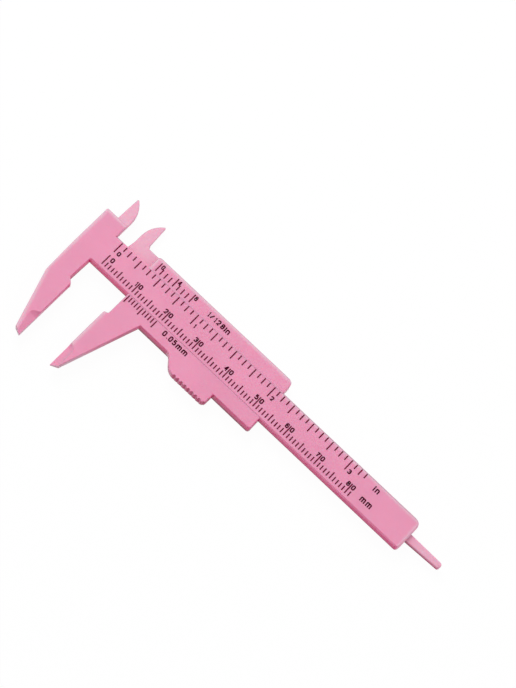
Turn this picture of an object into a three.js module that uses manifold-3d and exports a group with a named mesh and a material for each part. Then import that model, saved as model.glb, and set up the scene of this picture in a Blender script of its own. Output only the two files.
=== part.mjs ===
// Pocket vernier caliper of moulded plastic, lying on its back, drawn at a reading of 10.3 mm.
// Millimetres, +Z up. X runs along the beam from the zero of the main scale, Y is square to it from the
// beam's lower edge, and Z is the height over the slider's back. The last lines centre the part.
import * as THREE from "three";
import { mergeGeometries, mergeVertices } from "three/addons/utils/BufferGeometryUtils.js";
import Module from "manifold-3d";

// Whole caliper
const THICKNESS = 4;
const READING = 10.3;
const SLIDE_GAP = 0.12;
const BACK_GAP = 0.15;
const OVERRUN = 1;

// Beam
const BEAM_WIDTH = 8.75;
const BEAM_THICKNESS = 2.95;
const BEAM_END = 98.3;
const LOWER_CHAMFER = 0.4;
const UPPER_CHAMFER = 0.25;
const END_ROUND_UPPER = 2;
const END_ROUND_LOWER = 1;

// Channel in the beam's back, for the depth rod and its foot
const FRONT_WALL = 1.25;
const CHANNEL_START = 2.5;
const CHANNEL_STOP = 92.6;
const CHANNEL_SIDE_GAP = 0.15;

// Head
const HEAD_LEFT = 8.8;
const HEAD_LEFT_ENDS = 8.5;
const HEAD_RISE = 3.5;
const HEAD_CORNER = 0.7;
const HEAD_TAPER_START = 9.3;

// Outside jaws, which reach below the beam
const FACE_TO_ZERO = 1.72;
const JAW_REACH = 25.15;
const JAW_TIP_WIDTH = 1.85;
const JAW_TIP_SLANT = 0.95;
const FIXED_RELIEF = 1.28;
const MOVING_RELIEF = 1.1;
const RELIEF_REACH = 6.6;
const FIXED_RELIEF_SLANT = 1.1;
const MOVING_RELIEF_SLANT = 0.4;
const RELIEF_ROUND = 0.35;
const MOVING_JAW_ROOT = 8.72;

// Knife facets at the tips of the outside jaws
const KNIFE_LENGTH = 7.3;
const KNIFE_WIDTH = 1.9;
const KNIFE_DEPTH = 0.9;
const KNIFE_ROUND = 1.3;

// Inside jaws, which reach above the beam
const BLADE_EDGE_TO_ZERO = 5.4;
const BLADE_WIDTH = 3.4;
const BLADE_REACH = 10.55;
const BLADE_SHOULDER = 4.85;
const BLADE_TIP = 0.3;
const BLADE_BULGE = 2.2;
const BLADE_STEP = 0.5;
const BLADE_MARGIN = 0.35;
const BLADE_STEP_DROP = 0.15;
const BLADE_STEP_ROUND = 1.1;
const BLADE_ROOT_ROUND = 0.7;
const MOVING_BLADE_THICKNESS = 2.05;

// Slider
const SLIDER_LENGTH = 44.45;
const SLIDER_DROP = 3.5;
const BACK_PLATE = 0.9;
const UPPER_LIP_TO_VERNIER = 1.65;
const LIP_START_ROUND = 0.8;
const LIP_END_ROUND = 1.9;
const LOWER_END_ROUND = 0.8;
const PLATE_ARM_START = 3;

// Ribbed thumb rest under the slider
const PAD_START = 16.6;
const PAD_LENGTH = 14.46;
const PAD_DROP = 3.35;
const PAD_RAMP = 2.8;
const PAD_RAMP_ROUND = 1.1;
const PAD_TOE_ROUND = 1.8;
const PAD_CORNER = 1.3;
const RIB_COUNT = 8;
const RIB_PITCH = 1.164;
const RIB_TO_PAD_START = 4.75;
const RIB_GROOVE_RADIUS = 0.46;
const RIB_GROOVE_DEPTH = 0.4;

// Depth rod
const ROD_WIDTH = 2.1;
const ROD_THICKNESS = 1.5;
const ROD_HEIGHT_ON_BEAM = 4.2;
const ROD_TIP_WIDTH = 1.5;
const ROD_TAPER_LENGTH = 11.5;
const ROD_TIP_ROUND = 0.6;
const FOOT_WIDTH = 3.6;
const FOOT_LENGTH = 8;
const FOOT_TO_VERNIER = 3.7;
const PEG_LENGTH = 5;
const PEG_WIDTH = 1.6;
const PEG_GAP = 0.1;

// Graduations, moulded as shallow grooves. Heights are measured from the beam's lower edge.
const INCH = 25.4;
const MM_STEP = 1;
const TICK_DEPTH = 0.1;
const TICK_WIDTH = 0.25;
const MM_MARKS = 82;
const MM_MIDDLE_EVERY = 5;
const MM_LONG_EVERY = 10;
const MM_FOOT = 1.05;
const MM_SHORT = 1.37;
const MM_MIDDLE = 2.02;
const MM_LONG = 3.05;
const INCH_MARKS = 52;
const INCH_EIGHTH_EVERY = 2;
const INCH_QUARTER_EVERY = 4;
const INCH_DIVISIONS = 16;
const INCH_HEAD = 8.34;
const INCH_SHORT = 1.36;
const INCH_EIGHTH = 1.75;
const INCH_QUARTER = 2.56;
const INCH_LONG = 3.05;
const VERNIER_MM_DIVISIONS = 10;
const VERNIER_MM_LONG_EVERY = 5;
const VERNIER_MM_SPAN = 9;
const VERNIER_MM_HEAD = 0.1;
const VERNIER_MM_SHORT = 1.42;
const VERNIER_MM_LONG = 2.15;
const VERNIER_INCH_DIVISIONS = 8;
const VERNIER_INCH_LONG_EVERY = 4;
const VERNIER_INCH_SPAN_MARKS = 7;
const VERNIER_INCH_FOOT = 8.98;
const VERNIER_INCH_SHORT = 1.62;
const VERNIER_INCH_LONG = 2.58;

const CURVE_STEPS = 8;
const PINK = 0xe69bb8;
const BODY_ROUGHNESS = 0.3;
const ROD_ROUGHNESS = 0.35;

// Heights over the slider's back that several pieces share
const beamBack = THICKNESS - BEAM_THICKNESS;
const channelRoof = THICKNESS - FRONT_WALL;
const rodFront = channelRoof - BACK_GAP;
const rodBack = rodFront - ROD_THICKNESS;
const recessRoof = MOVING_BLADE_THICKNESS + BACK_GAP;
const sliderEnd = READING - UPPER_LIP_TO_VERNIER + SLIDER_LENGTH;

const wasm = await Module();
wasm.setup();

// A closed three.js geometry as a manifold-3d solid.
function toSolid(geometry) {
  const bare = geometry.clone();
  bare.deleteAttribute("normal");
  bare.deleteAttribute("uv");
  const merged = mergeVertices(bare);
  const triVerts = new Uint32Array(merged.index.array);
  const vertProperties = merged.attributes.position.array;
  return new wasm.Manifold(new wasm.Mesh({ numProp: 3, vertProperties, triVerts }));
}

// A manifold-3d solid as a named three.js mesh.
function toMesh(name, solid, roughness) {
  const { vertProperties, triVerts } = solid.getMesh();
  const geometry = new THREE.BufferGeometry();
  geometry.setAttribute("position", new THREE.BufferAttribute(vertProperties, 3));
  geometry.setIndex(new THREE.BufferAttribute(triVerts, 1));
  const material = new THREE.MeshStandardMaterial({ color: PINK, roughness, flatShading: true });
  const mesh = new THREE.Mesh(geometry, material);
  mesh.name = name;
  return mesh;
}

// A closed outline through corners [x, y, round]; round is how far from the corner its curve begins.
function outline(corners) {
  const shape = new THREE.Shape();
  corners.forEach(([x, y, round = 0], i) => {
    const corner = new THREE.Vector2(x, y);
    const before = new THREE.Vector2(...corners.at(i - 1).slice(0, 2));
    const after = new THREE.Vector2(...corners[(i + 1) % corners.length].slice(0, 2));
    const start = corner.clone().add(before.sub(corner).setLength(round));
    const end = corner.clone().add(after.sub(corner).setLength(round));
    if (i === 0) shape.moveTo(start.x, start.y);
    else shape.lineTo(start.x, start.y);
    if (round > 0) shape.quadraticCurveTo(x, y, end.x, end.y);
  });
  shape.closePath();
  return shape;
}

// A flat plate with the outline's shape, from one height to another.
function plate(shape, from, to) {
  const settings = { depth: to - from, bevelEnabled: false, curveSegments: CURVE_STEPS };
  return new THREE.ExtrudeGeometry(shape, settings).translate(0, 0, from);
}

// A bar along X whose section is an outline in Y and Z.
function bar(section, from, to) {
  const settings = { depth: to - from, bevelEnabled: false, curveSegments: CURVE_STEPS };
  const turned = new THREE.Matrix4().makeBasis(
    new THREE.Vector3(0, 1, 0),
    new THREE.Vector3(0, 0, 1),
    new THREE.Vector3(1, 0, 0),
  );
  return new THREE.ExtrudeGeometry(section, settings).applyMatrix4(turned).translate(from, 0, 0);
}

// A box between two corners.
function block([x0, y0, z0], [x1, y1, z1]) {
  const box = new THREE.BoxGeometry(x1 - x0, y1 - y0, z1 - z0);
  return box.translate((x0 + x1) / 2, (y0 + y1) / 2, (z0 + z1) / 2);
}

// The beam's section in Y and Z. Its front edges are bevelled.
function beamSection() {
  return outline([
    [0, beamBack],
    [BEAM_WIDTH, beamBack],
    [BEAM_WIDTH, THICKNESS - UPPER_CHAMFER],
    [BEAM_WIDTH - UPPER_CHAMFER, THICKNESS],
    [LOWER_CHAMFER, THICKNESS],
    [0, THICKNESS - LOWER_CHAMFER],
  ]);
}

// The beam's way through the slider: the beam's section with its gaps, open at the front.
function waySection() {
  const bevelShift = SLIDE_GAP * (Math.SQRT2 - 1);
  const lowerFront = LOWER_CHAMFER - SLIDE_GAP - bevelShift;
  const upperFront = BEAM_WIDTH - UPPER_CHAMFER + SLIDE_GAP + bevelShift;
  return outline([
    [-SLIDE_GAP, beamBack - BACK_GAP],
    [BEAM_WIDTH + SLIDE_GAP, beamBack - BACK_GAP],
    [BEAM_WIDTH + SLIDE_GAP, THICKNESS - UPPER_CHAMFER + bevelShift],
    [upperFront, THICKNESS],
    [upperFront, THICKNESS + OVERRUN],
    [lowerFront, THICKNESS + OVERRUN],
    [lowerFront, THICKNESS],
    [-SLIDE_GAP, THICKNESS - LOWER_CHAMFER + bevelShift],
  ]);
}

// One rounding at the free end, as the piece that is left over outside its curve.
function endCornerWaste(edge, inward, round) {
  const waste = new THREE.Shape();
  waste.moveTo(BEAM_END + OVERRUN, edge - inward * OVERRUN);
  waste.lineTo(BEAM_END + OVERRUN, edge + inward * round);
  waste.lineTo(BEAM_END, edge + inward * round);
  waste.quadraticCurveTo(BEAM_END, edge, BEAM_END - round, edge);
  waste.lineTo(BEAM_END - round, edge - inward * OVERRUN);
  waste.closePath();
  return plate(waste, -OVERRUN, THICKNESS + OVERRUN);
}

// The head and the fixed outside jaw in one outline. Its right side ends inside the beam.
function headOutline() {
  const faceX = -FACE_TO_ZERO;
  const reliefX = faceX - FIXED_RELIEF;
  return outline([
    [-BLADE_EDGE_TO_ZERO + BLADE_WIDTH, BEAM_WIDTH + HEAD_RISE],
    [-HEAD_LEFT_ENDS, BEAM_WIDTH + HEAD_RISE, HEAD_CORNER],
    [-HEAD_LEFT, BEAM_WIDTH / 2, HEAD_LEFT / 2],
    [-HEAD_LEFT_ENDS, -HEAD_TAPER_START, HEAD_CORNER],
    [faceX - JAW_TIP_WIDTH, -JAW_REACH + JAW_TIP_SLANT],
    [faceX, -JAW_REACH],
    [faceX, -RELIEF_REACH - FIXED_RELIEF_SLANT, RELIEF_ROUND],
    [reliefX, -RELIEF_REACH, RELIEF_ROUND],
    [reliefX, BEAM_WIDTH / 2],
    [-BLADE_EDGE_TO_ZERO + BLADE_WIDTH, BEAM_WIDTH / 2],
  ]);
}

// The moving outside jaw. Its upper end lies inside the slider's lower lip.
function movingJawOutline() {
  const faceX = READING - FACE_TO_ZERO;
  const reliefX = faceX + MOVING_RELIEF;
  return outline([
    [faceX, -RELIEF_REACH - MOVING_RELIEF_SLANT, RELIEF_ROUND],
    [faceX, -JAW_REACH],
    [faceX + JAW_TIP_WIDTH, -JAW_REACH + JAW_TIP_SLANT],
    [faceX + MOVING_JAW_ROOT, -SLIDER_DROP],
    [faceX + MOVING_JAW_ROOT, -SLIDER_DROP / 2],
    [reliefX, -SLIDER_DROP / 2],
    [reliefX, -RELIEF_REACH, RELIEF_ROUND],
  ]);
}

// An inside jaw's blade. side is 1 where the body of the blade lies to the right of its measuring edge.
function bladeOutline(edgeX, side, root) {
  const top = BEAM_WIDTH + BLADE_REACH;
  const backX = edgeX + side * BLADE_WIDTH;
  const shape = new THREE.Shape();
  shape.moveTo(edgeX, root);
  shape.lineTo(edgeX, top - BLADE_TIP);
  shape.lineTo(edgeX + side * BLADE_TIP, top);
  shape.quadraticCurveTo(backX, top - BLADE_BULGE, backX, BEAM_WIDTH + BLADE_SHOULDER);
  shape.lineTo(backX, root);
  shape.closePath();
  return shape;
}

// The wedge that leaves a knife facet on one side of a jaw's tip. side is 1 for a jaw that faces +X.
function knifeWedge(faceX, side, surface, outward) {
  const slope = Math.atan2(KNIFE_DEPTH, KNIFE_WIDTH);
  const reach = Math.hypot(KNIFE_DEPTH, KNIFE_WIDTH) + OVERRUN;
  const facet = outline([
    [0, -KNIFE_LENGTH - OVERRUN],
    [reach, -KNIFE_LENGTH - OVERRUN],
    [reach, 0],
    [0, 0, KNIFE_ROUND],
  ]);
  const wedge = plate(facet, 0, KNIFE_DEPTH + OVERRUN);
  wedge.rotateY(slope);
  const placed = new THREE.Group();
  placed.scale.set(side, 1, outward);
  placed.position.set(faceX - side * KNIFE_WIDTH, -JAW_REACH + KNIFE_LENGTH, surface);
  placed.updateMatrix();
  wedge.applyMatrix4(placed.matrix);
  if (side * outward < 0) flipFaces(wedge);
  return wedge;
}

// Turns every triangle round, after a mirroring.
function flipFaces(geometry) {
  const { array } = geometry.attributes.position;
  for (let i = 0; i < array.length; i += 9) {
    for (let axis = 0; axis < 3; axis += 1) {
      const kept = array[i + axis];
      array[i + axis] = array[i + 3 + axis];
      array[i + 3 + axis] = kept;
    }
  }
}

// Both knife facets of one jaw, on its front and its back.
function knifeWedges(faceX, side) {
  const front = toSolid(knifeWedge(faceX, side, THICKNESS, 1));
  const back = toSolid(knifeWedge(faceX, side, beamBack, -1));
  return front.add(back);
}

// One graduation groove in the front, standing up or hanging down from its base line.
function tick(x, base, length) {
  const low = Math.min(base, base + length);
  const high = Math.max(base, base + length);
  const floor = THICKNESS - TICK_DEPTH;
  return block([x - TICK_WIDTH / 2, low, floor], [x + TICK_WIDTH / 2, high, THICKNESS + OVERRUN]);
}

function mmLength(mark) {
  if (mark % MM_LONG_EVERY === 0) return MM_LONG;
  return mark % MM_MIDDLE_EVERY === 0 ? MM_MIDDLE : MM_SHORT;
}

function inchLength(mark) {
  if (mark % INCH_DIVISIONS === 0) return INCH_LONG;
  if (mark % INCH_QUARTER_EVERY === 0) return INCH_QUARTER;
  return mark % INCH_EIGHTH_EVERY === 0 ? INCH_EIGHTH : INCH_SHORT;
}

// The grooves of both main scales.
function mainScales() {
  const grooves = [];
  for (let mark = 0; mark < MM_MARKS; mark += 1) {
    grooves.push(tick(mark * MM_STEP, MM_FOOT, mmLength(mark)));
  }
  for (let mark = 0; mark < INCH_MARKS; mark += 1) {
    grooves.push(tick((mark * INCH) / INCH_DIVISIONS, INCH_HEAD, -inchLength(mark)));
  }
  return toSolid(mergeGeometries(grooves));
}

// The grooves of both vernier scales.
function vernierScales() {
  const grooves = [];
  for (let mark = 0; mark <= VERNIER_MM_DIVISIONS; mark += 1) {
    const x = READING + (mark * VERNIER_MM_SPAN) / VERNIER_MM_DIVISIONS;
    const length = mark % VERNIER_MM_LONG_EVERY === 0 ? VERNIER_MM_LONG : VERNIER_MM_SHORT;
    grooves.push(tick(x, VERNIER_MM_HEAD, -length));
  }
  const inchStep = (VERNIER_INCH_SPAN_MARKS * INCH) / INCH_DIVISIONS / VERNIER_INCH_DIVISIONS;
  for (let mark = 0; mark <= VERNIER_INCH_DIVISIONS; mark += 1) {
    const x = READING + mark * inchStep;
    const length = mark % VERNIER_INCH_LONG_EVERY === 0 ? VERNIER_INCH_LONG : VERNIER_INCH_SHORT;
    grooves.push(tick(x, VERNIER_INCH_FOOT, length));
  }
  return toSolid(mergeGeometries(grooves));
}

// The channel in the beam's back: wide for the foot, narrow at the free end, where it stops the foot.
function rodChannel() {
  const wide = FOOT_WIDTH / 2 + CHANNEL_SIDE_GAP;
  const narrow = ROD_WIDTH / 2 + CHANNEL_SIDE_GAP;
  const floor = beamBack - OVERRUN;
  const middle = ROD_HEIGHT_ON_BEAM;
  const run = block([CHANNEL_START, middle - wide, floor], [CHANNEL_STOP, middle + wide, channelRoof]);
  const exit = block(
    [CHANNEL_STOP - OVERRUN, middle - narrow, floor],
    [BEAM_END + OVERRUN, middle + narrow, channelRoof],
  );
  return toSolid(run).add(toSolid(exit));
}

// The lower front level of the fixed inside jaw: what is cut off in front of it, outside the head's face.
function bladeStep() {
  const backX = -BLADE_EDGE_TO_ZERO + BLADE_WIDTH;
  const floor = THICKNESS - BLADE_STEP;
  const cut = block(
    [-BLADE_EDGE_TO_ZERO - OVERRUN, BEAM_WIDTH, floor],
    [backX + OVERRUN, BEAM_WIDTH + BLADE_REACH + OVERRUN, THICKNESS + OVERRUN],
  );
  const face = outline([
    [-HEAD_LEFT - OVERRUN, 0],
    [backX - BLADE_MARGIN, 0],
    [backX - BLADE_MARGIN, BEAM_WIDTH + HEAD_RISE - BLADE_STEP_DROP, BLADE_STEP_ROUND],
    [-BLADE_EDGE_TO_ZERO, BEAM_WIDTH + HEAD_RISE],
    [-HEAD_LEFT - OVERRUN, BEAM_WIDTH + HEAD_RISE],
  ]);
  const kept = plate(face, floor - OVERRUN, THICKNESS + OVERRUN + OVERRUN);
  return toSolid(cut).subtract(toSolid(kept));
}

function mainBeam() {
  const section = bar(beamSection(), -FACE_TO_ZERO - FIXED_RELIEF - OVERRUN, BEAM_END);
  const head = plate(headOutline(), beamBack, THICKNESS);
  const blade = plate(bladeOutline(-BLADE_EDGE_TO_ZERO, 1, BEAM_WIDTH), recessRoof, THICKNESS);
  const recess = block(
    [-HEAD_LEFT - OVERRUN, BEAM_WIDTH, -OVERRUN],
    [-BLADE_EDGE_TO_ZERO + BLADE_WIDTH + OVERRUN, BEAM_WIDTH + BLADE_REACH, recessRoof],
  );
  return toSolid(section)
    .add(toSolid(head))
    .add(toSolid(blade))
    .subtract(toSolid(recess))
    .subtract(bladeStep())
    .subtract(toSolid(endCornerWaste(BEAM_WIDTH, -1, END_ROUND_UPPER)))
    .subtract(toSolid(endCornerWaste(0, 1, END_ROUND_LOWER)))
    .subtract(rodChannel())
    .subtract(knifeWedges(-FACE_TO_ZERO, 1))
    .subtract(mainScales());
}

// The slider's two lips and back plate, before the beam's way is cut through them.
function sliderBlock() {
  const lowerStart = READING - FACE_TO_ZERO + MOVING_RELIEF;
  const upperStart = READING - UPPER_LIP_TO_VERNIER;
  return outline([
    [upperStart, BEAM_WIDTH / 2],
    [lowerStart, BEAM_WIDTH / 2],
    [lowerStart, -SLIDER_DROP],
    [sliderEnd, -SLIDER_DROP, LOWER_END_ROUND],
    [sliderEnd, BEAM_WIDTH + HEAD_RISE, LIP_END_ROUND],
    [upperStart, BEAM_WIDTH + HEAD_RISE, LIP_START_ROUND],
  ]);
}

// The thumb rest, with a ramp on the left and a rounded corner on the right.
function thumbRest() {
  const left = READING + PAD_START;
  const right = left + PAD_LENGTH;
  const bottom = -SLIDER_DROP - PAD_DROP;
  const pad = outline([
    [left - PAD_RAMP_ROUND, -SLIDER_DROP / 2],
    [left - PAD_RAMP_ROUND, -SLIDER_DROP],
    [left, -SLIDER_DROP, PAD_RAMP_ROUND],
    [left + PAD_RAMP, bottom, PAD_TOE_ROUND],
    [right, bottom, PAD_CORNER],
    [right, -SLIDER_DROP / 2],
  ]);
  const grooves = [];
  for (let rib = 0; rib < RIB_COUNT; rib += 1) {
    const cutter = new THREE.CylinderGeometry(
      RIB_GROOVE_RADIUS,
      RIB_GROOVE_RADIUS,
      THICKNESS + OVERRUN,
      CURVE_STEPS * 2,
    );
    const x = left + RIB_TO_PAD_START + rib * RIB_PITCH;
    const y = bottom + RIB_GROOVE_DEPTH - RIB_GROOVE_RADIUS;
    grooves.push(cutter.rotateX(Math.PI / 2).translate(x, y, THICKNESS / 2 + beamBack / 2));
  }
  return toSolid(plate(pad, beamBack, THICKNESS)).subtract(toSolid(mergeGeometries(grooves)));
}

// The moving inside jaw: its blade, and the low arm that joins it to the upper lip and the back plate.
function movingBlade() {
  const edgeX = READING - BLADE_EDGE_TO_ZERO;
  const backX = edgeX - BLADE_WIDTH;
  const joint = READING + LIP_START_ROUND;
  const armFoot = BEAM_WIDTH + SLIDE_GAP;
  const blade = plate(bladeOutline(edgeX, -1, armFoot), 0, MOVING_BLADE_THICKNESS);
  const top = BEAM_WIDTH + HEAD_RISE;
  const arm = outline([
    [backX, armFoot],
    [joint, armFoot],
    [joint, top],
    [edgeX, top, BLADE_ROOT_ROUND],
    [edgeX, top + BLADE_ROOT_ROUND],
    [backX, top + BLADE_ROOT_ROUND],
  ]);
  const backArm = block([backX, PLATE_ARM_START, 0], [joint, top - OVERRUN, BACK_PLATE]);
  const raisedArm = plate(arm, 0, MOVING_BLADE_THICKNESS);
  return toSolid(blade).add(toSolid(raisedArm)).add(toSolid(backArm));
}

// The peg of the rod's foot, or with a gap, the hole for it in the slider's back plate.
function pegBlock(gap, low) {
  const middle = READING + FOOT_TO_VERNIER + FOOT_LENGTH / 2;
  const reach = PEG_LENGTH / 2 + gap;
  const side = PEG_WIDTH / 2 + gap;
  return block(
    [middle - reach, ROD_HEIGHT_ON_BEAM - side, low],
    [middle + reach, ROD_HEIGHT_ON_BEAM + side, gap > 0 ? BACK_PLATE + OVERRUN : BACK_PLATE + ROD_THICKNESS],
  );
}

function slider() {
  const body = plate(sliderBlock(), 0, THICKNESS);
  const beamWay = bar(waySection(), READING - UPPER_LIP_TO_VERNIER - OVERRUN, sliderEnd + OVERRUN);
  const jaw = plate(movingJawOutline(), beamBack, THICKNESS);
  return toSolid(body)
    .subtract(toSolid(beamWay))
    .add(toSolid(jaw))
    .add(thumbRest())
    .add(movingBlade())
    .subtract(toSolid(pegBlock(PEG_GAP, -OVERRUN)))
    .subtract(knifeWedges(READING - FACE_TO_ZERO, -1))
    .subtract(vernierScales());
}

// The rod's plan: straight along its upper side, narrowing on its lower side towards a rounded tip.
function rodOutline() {
  const start = READING + FOOT_TO_VERNIER;
  const tip = BEAM_END + READING;
  const upper = ROD_HEIGHT_ON_BEAM + ROD_WIDTH / 2;
  const lower = ROD_HEIGHT_ON_BEAM - ROD_WIDTH / 2;
  return outline([
    [start, lower],
    [tip - ROD_TAPER_LENGTH, lower],
    [tip, upper - ROD_TIP_WIDTH, ROD_TIP_ROUND],
    [tip, upper, ROD_TIP_ROUND],
    [start, upper],
  ]);
}

function depthRod() {
  const start = READING + FOOT_TO_VERNIER;
  const rod = plate(rodOutline(), rodBack, rodFront);
  const foot = block(
    [start, ROD_HEIGHT_ON_BEAM - FOOT_WIDTH / 2, BACK_PLATE],
    [start + FOOT_LENGTH, ROD_HEIGHT_ON_BEAM + FOOT_WIDTH / 2, rodFront],
  );
  return toSolid(rod).add(toSolid(foot)).add(toSolid(pegBlock(0, 0)));
}

const caliper = new THREE.Group();
caliper.name = "vernier_caliper";
caliper.add(toMesh("main_beam", mainBeam(), BODY_ROUGHNESS));
caliper.add(toMesh("slider", slider(), BODY_ROUGHNESS));
caliper.add(toMesh("depth_rod", depthRod(), ROD_ROUGHNESS));

// The origin goes to the middle of the part's box, at the height of its back.
const box = new THREE.Box3().setFromObject(caliper);
const middle = box.getCenter(new THREE.Vector3());
caliper.position.set(-middle.x, -middle.y, -box.min.z);

export default caliper;
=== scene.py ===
# A small plastic vernier caliper, dressed over its solids: the moulded beam with the fixed jaws, the slider
# with the moving jaws and the thumb rest, the depth rod and the inked scales, on a plain pale floor.
import math

import bmesh
import bpy
import numpy as np
from bpy.props import FloatProperty, FloatVectorProperty, IntProperty, PointerProperty
from bpy.types import Operator, Panel, PropertyGroup
from mathutils import Matrix, Quaternion, Vector


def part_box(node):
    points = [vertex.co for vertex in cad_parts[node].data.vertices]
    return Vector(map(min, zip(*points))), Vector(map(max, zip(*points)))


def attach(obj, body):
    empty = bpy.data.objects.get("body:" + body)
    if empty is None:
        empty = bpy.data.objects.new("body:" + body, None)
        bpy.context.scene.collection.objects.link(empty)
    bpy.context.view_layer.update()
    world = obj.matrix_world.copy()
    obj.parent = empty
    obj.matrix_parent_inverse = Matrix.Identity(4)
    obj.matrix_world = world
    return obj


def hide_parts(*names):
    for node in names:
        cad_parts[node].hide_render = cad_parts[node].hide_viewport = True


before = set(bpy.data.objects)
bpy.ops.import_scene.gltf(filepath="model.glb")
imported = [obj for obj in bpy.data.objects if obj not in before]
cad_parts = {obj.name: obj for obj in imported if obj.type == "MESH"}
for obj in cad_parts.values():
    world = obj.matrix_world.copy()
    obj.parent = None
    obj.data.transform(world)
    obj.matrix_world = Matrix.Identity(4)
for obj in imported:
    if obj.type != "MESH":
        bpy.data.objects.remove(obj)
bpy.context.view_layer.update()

bl_info = {
    "name": "Plastic Vernier Caliper",
    "version": (1, 0, 0),
    "blender": (4, 5, 0),
    "location": "View3D > Sidebar > Caliper",
    "description": "Builds the pieces, inked scales and studio of a small plastic vernier caliper",
    "category": "Object",
}

MM = 0.001

# Sizes in millimetres. X runs along the beam from the zero of the main scale, Y is square to it from the
# beam's lower edge, and Z is the height over the slider's back.
THICKNESS = 4.0
READING = 10.3
SLIDE_GAP = 0.12
BACK_GAP = 0.15
BACK_ROUND_SHARE = 0.3
OVERRUN = 1.0

# Distances under which places count as the same
SAME_PLACE = 0.01
MERGE_REACH = 0.0008
STROKE_REPEAT = 1e-4
OUTLINE_REPEAT = 1e-5
IN_LINE = 1e-6

# Eased ends of a bevel, and the middle point of each easing as shares of it
BEVEL_EASE = 0.08
EASE_MIDDLE = (0.18, 0.07)
LIP_EASE_MIDDLE = (0.427, 0.177)

# Beam, with the channel in its back
BEAM_WIDTH = 8.75
BEAM_BACK = 1.05
BEAM_END = 98.3
LOWER_BEVEL = 0.4
UPPER_BEVEL = 0.4
END_ROUND_UPPER = 2.0
END_ROUND_LOWER = 1.0
CHANNEL_ROOF = 2.75
CHANNEL_START = 2.5
CHANNEL_STOP = 92.6
CHANNEL_SIDE_GAP = 0.15

# Head and outside jaws
HEAD_LEFT = 8.8
HEAD_LEFT_LOW = 8.5
HEAD_LEFT_BEND = 4.0
HEAD_RISE = 3.6
LIP_RISE = 3.65
HEAD_CORNER = 0.45
HEAD_TAPER_START = 9.3
FACE_TO_ZERO = 1.72
JAW_REACH = 25.15
JAW_POINT = 25.35
FIXED_TIP_WIDTH = 2.0
MOVING_TIP_WIDTH = 1.9
JAW_TIP_SLANT = 0.95
FIXED_RELIEF = 1.28
MOVING_RELIEF = 1.1
RELIEF_REACH = 6.6
FIXED_RELIEF_SLANT = 1.1
MOVING_RELIEF_SLANT = 0.4
RELIEF_ROUND = 0.35
RELIEF_TOP_ROUND = 0.3
RELIEF_LEAN = 0.2
MOVING_JAW_ROOT = 8.76
KNIFE_LENGTH = 7.5
FIXED_KNIFE_WIDTHS = (2.45, 0.85)
MOVING_KNIFE_WIDTHS = (1.75, 2.0)
KNIFE_DEPTH = 1.1
KNIFE_RUN_OUT = 1.9
FIXED_KNIFE_STEP = 0.04
MOVING_KNIFE_STEP = 0.6
KNIFE_BACK_SHARE = 0.4
KNIFE_STEPS = 15
KNIFE_PAST_END = 0.475
KNIFE_CLEARANCE = 3.3
JAW_BACK_BEVEL = 0.9
JAW_TIP_BACK_ROUND = 0.8
JAW_SIDE_BACK_ROUND = 0.6
MOVING_BLADE_BACK_BEVEL = 1.6

# Inside jaws
BLADE_EDGE_TO_ZERO = 5.4
BLADE_WIDTH = 3.26
MOVING_BLADE_WIDTH = 3.5
MOVING_BLADE_SPREAD = 0.36
BLADE_LEAN = 0.22
MOVING_BLADE_LEAN = 0.42
ARM_RISE = 3.76
BLADE_REACH = 10.55
BLADE_SHOULDER = 4.85
BLADE_TIP = 0.3
BLADE_BULGE = 2.2
BLADE_FRONT = 3.72
BLADE_MARGIN = 0.12
BLADE_STEP_DROP = 0.15
BLADE_STEP_ROUND = 0.6
BLADE_ROOT_ROUND = 0.7
MOVING_BLADE_FRONT = 2.05
RECESS_ROOF = 2.2

# Slider and thumb rest
SLIDER_LENGTH = 44.45
SLIDER_DROP = 3.5
BACK_PLATE = 0.9
UPPER_SEAM_ROUND_SHARE = 0.25
UPPER_LIP_TO_VERNIER = 1.65
LIP_START_ROUND = 0.8
LIP_END_ROUND = 1.6
LOWER_END_ROUND = 0.8
LOWER_END_LEAD = 0.2
PLATE_ARM_START = 3.0
PAD_START = 16.6
PAD_LENGTH = 14.46
PAD_DROP = 3.35
PAD_RAMP = 2.8
PAD_RAMP_ROUND = 1.1
PAD_TOE_ROUND = 1.8
PAD_CORNER = 1.3
RIB_COUNT = 8
RIB_PITCH = 1.164
RIB_TO_PAD_START = 4.75
RIB_GROOVE_RADIUS = 0.42
RIB_GROOVE_STEPS = 28
RIB_FRONT_DEPTH = 0.44
RIB_BACK_DEPTH = 0.1
RIB_CORNER_DEPTH = 0.3
RIB_CORNER_SHARE = 0.25
RIB_SIDE_BACK_DEPTH = 0.05

# Depth rod
ROD_BACK = 1.1
ROD_FRONT = 2.6
ROD_WIDTH = 2.36
ROD_MIDDLE = 4.2
ROD_TIP_WIDTH = 1.74
ROD_TIP_DROP = 0.1
ROD_TAPER_LENGTH = 11.5
ROD_TIP_ROUND = 0.6
ROD_TIP_UPPER_ROUND = 0.9
ROD_LOWER_ROUND = 0.6
FOOT_WIDTH = 3.6
FOOT_LENGTH = 8.0
FOOT_TO_VERNIER = 3.7
PEG_LENGTH = 5.0
PEG_WIDTH = 1.6
PEG_GAP = 0.1
PEG_HOLE_DEPTH = 1.1

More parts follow.
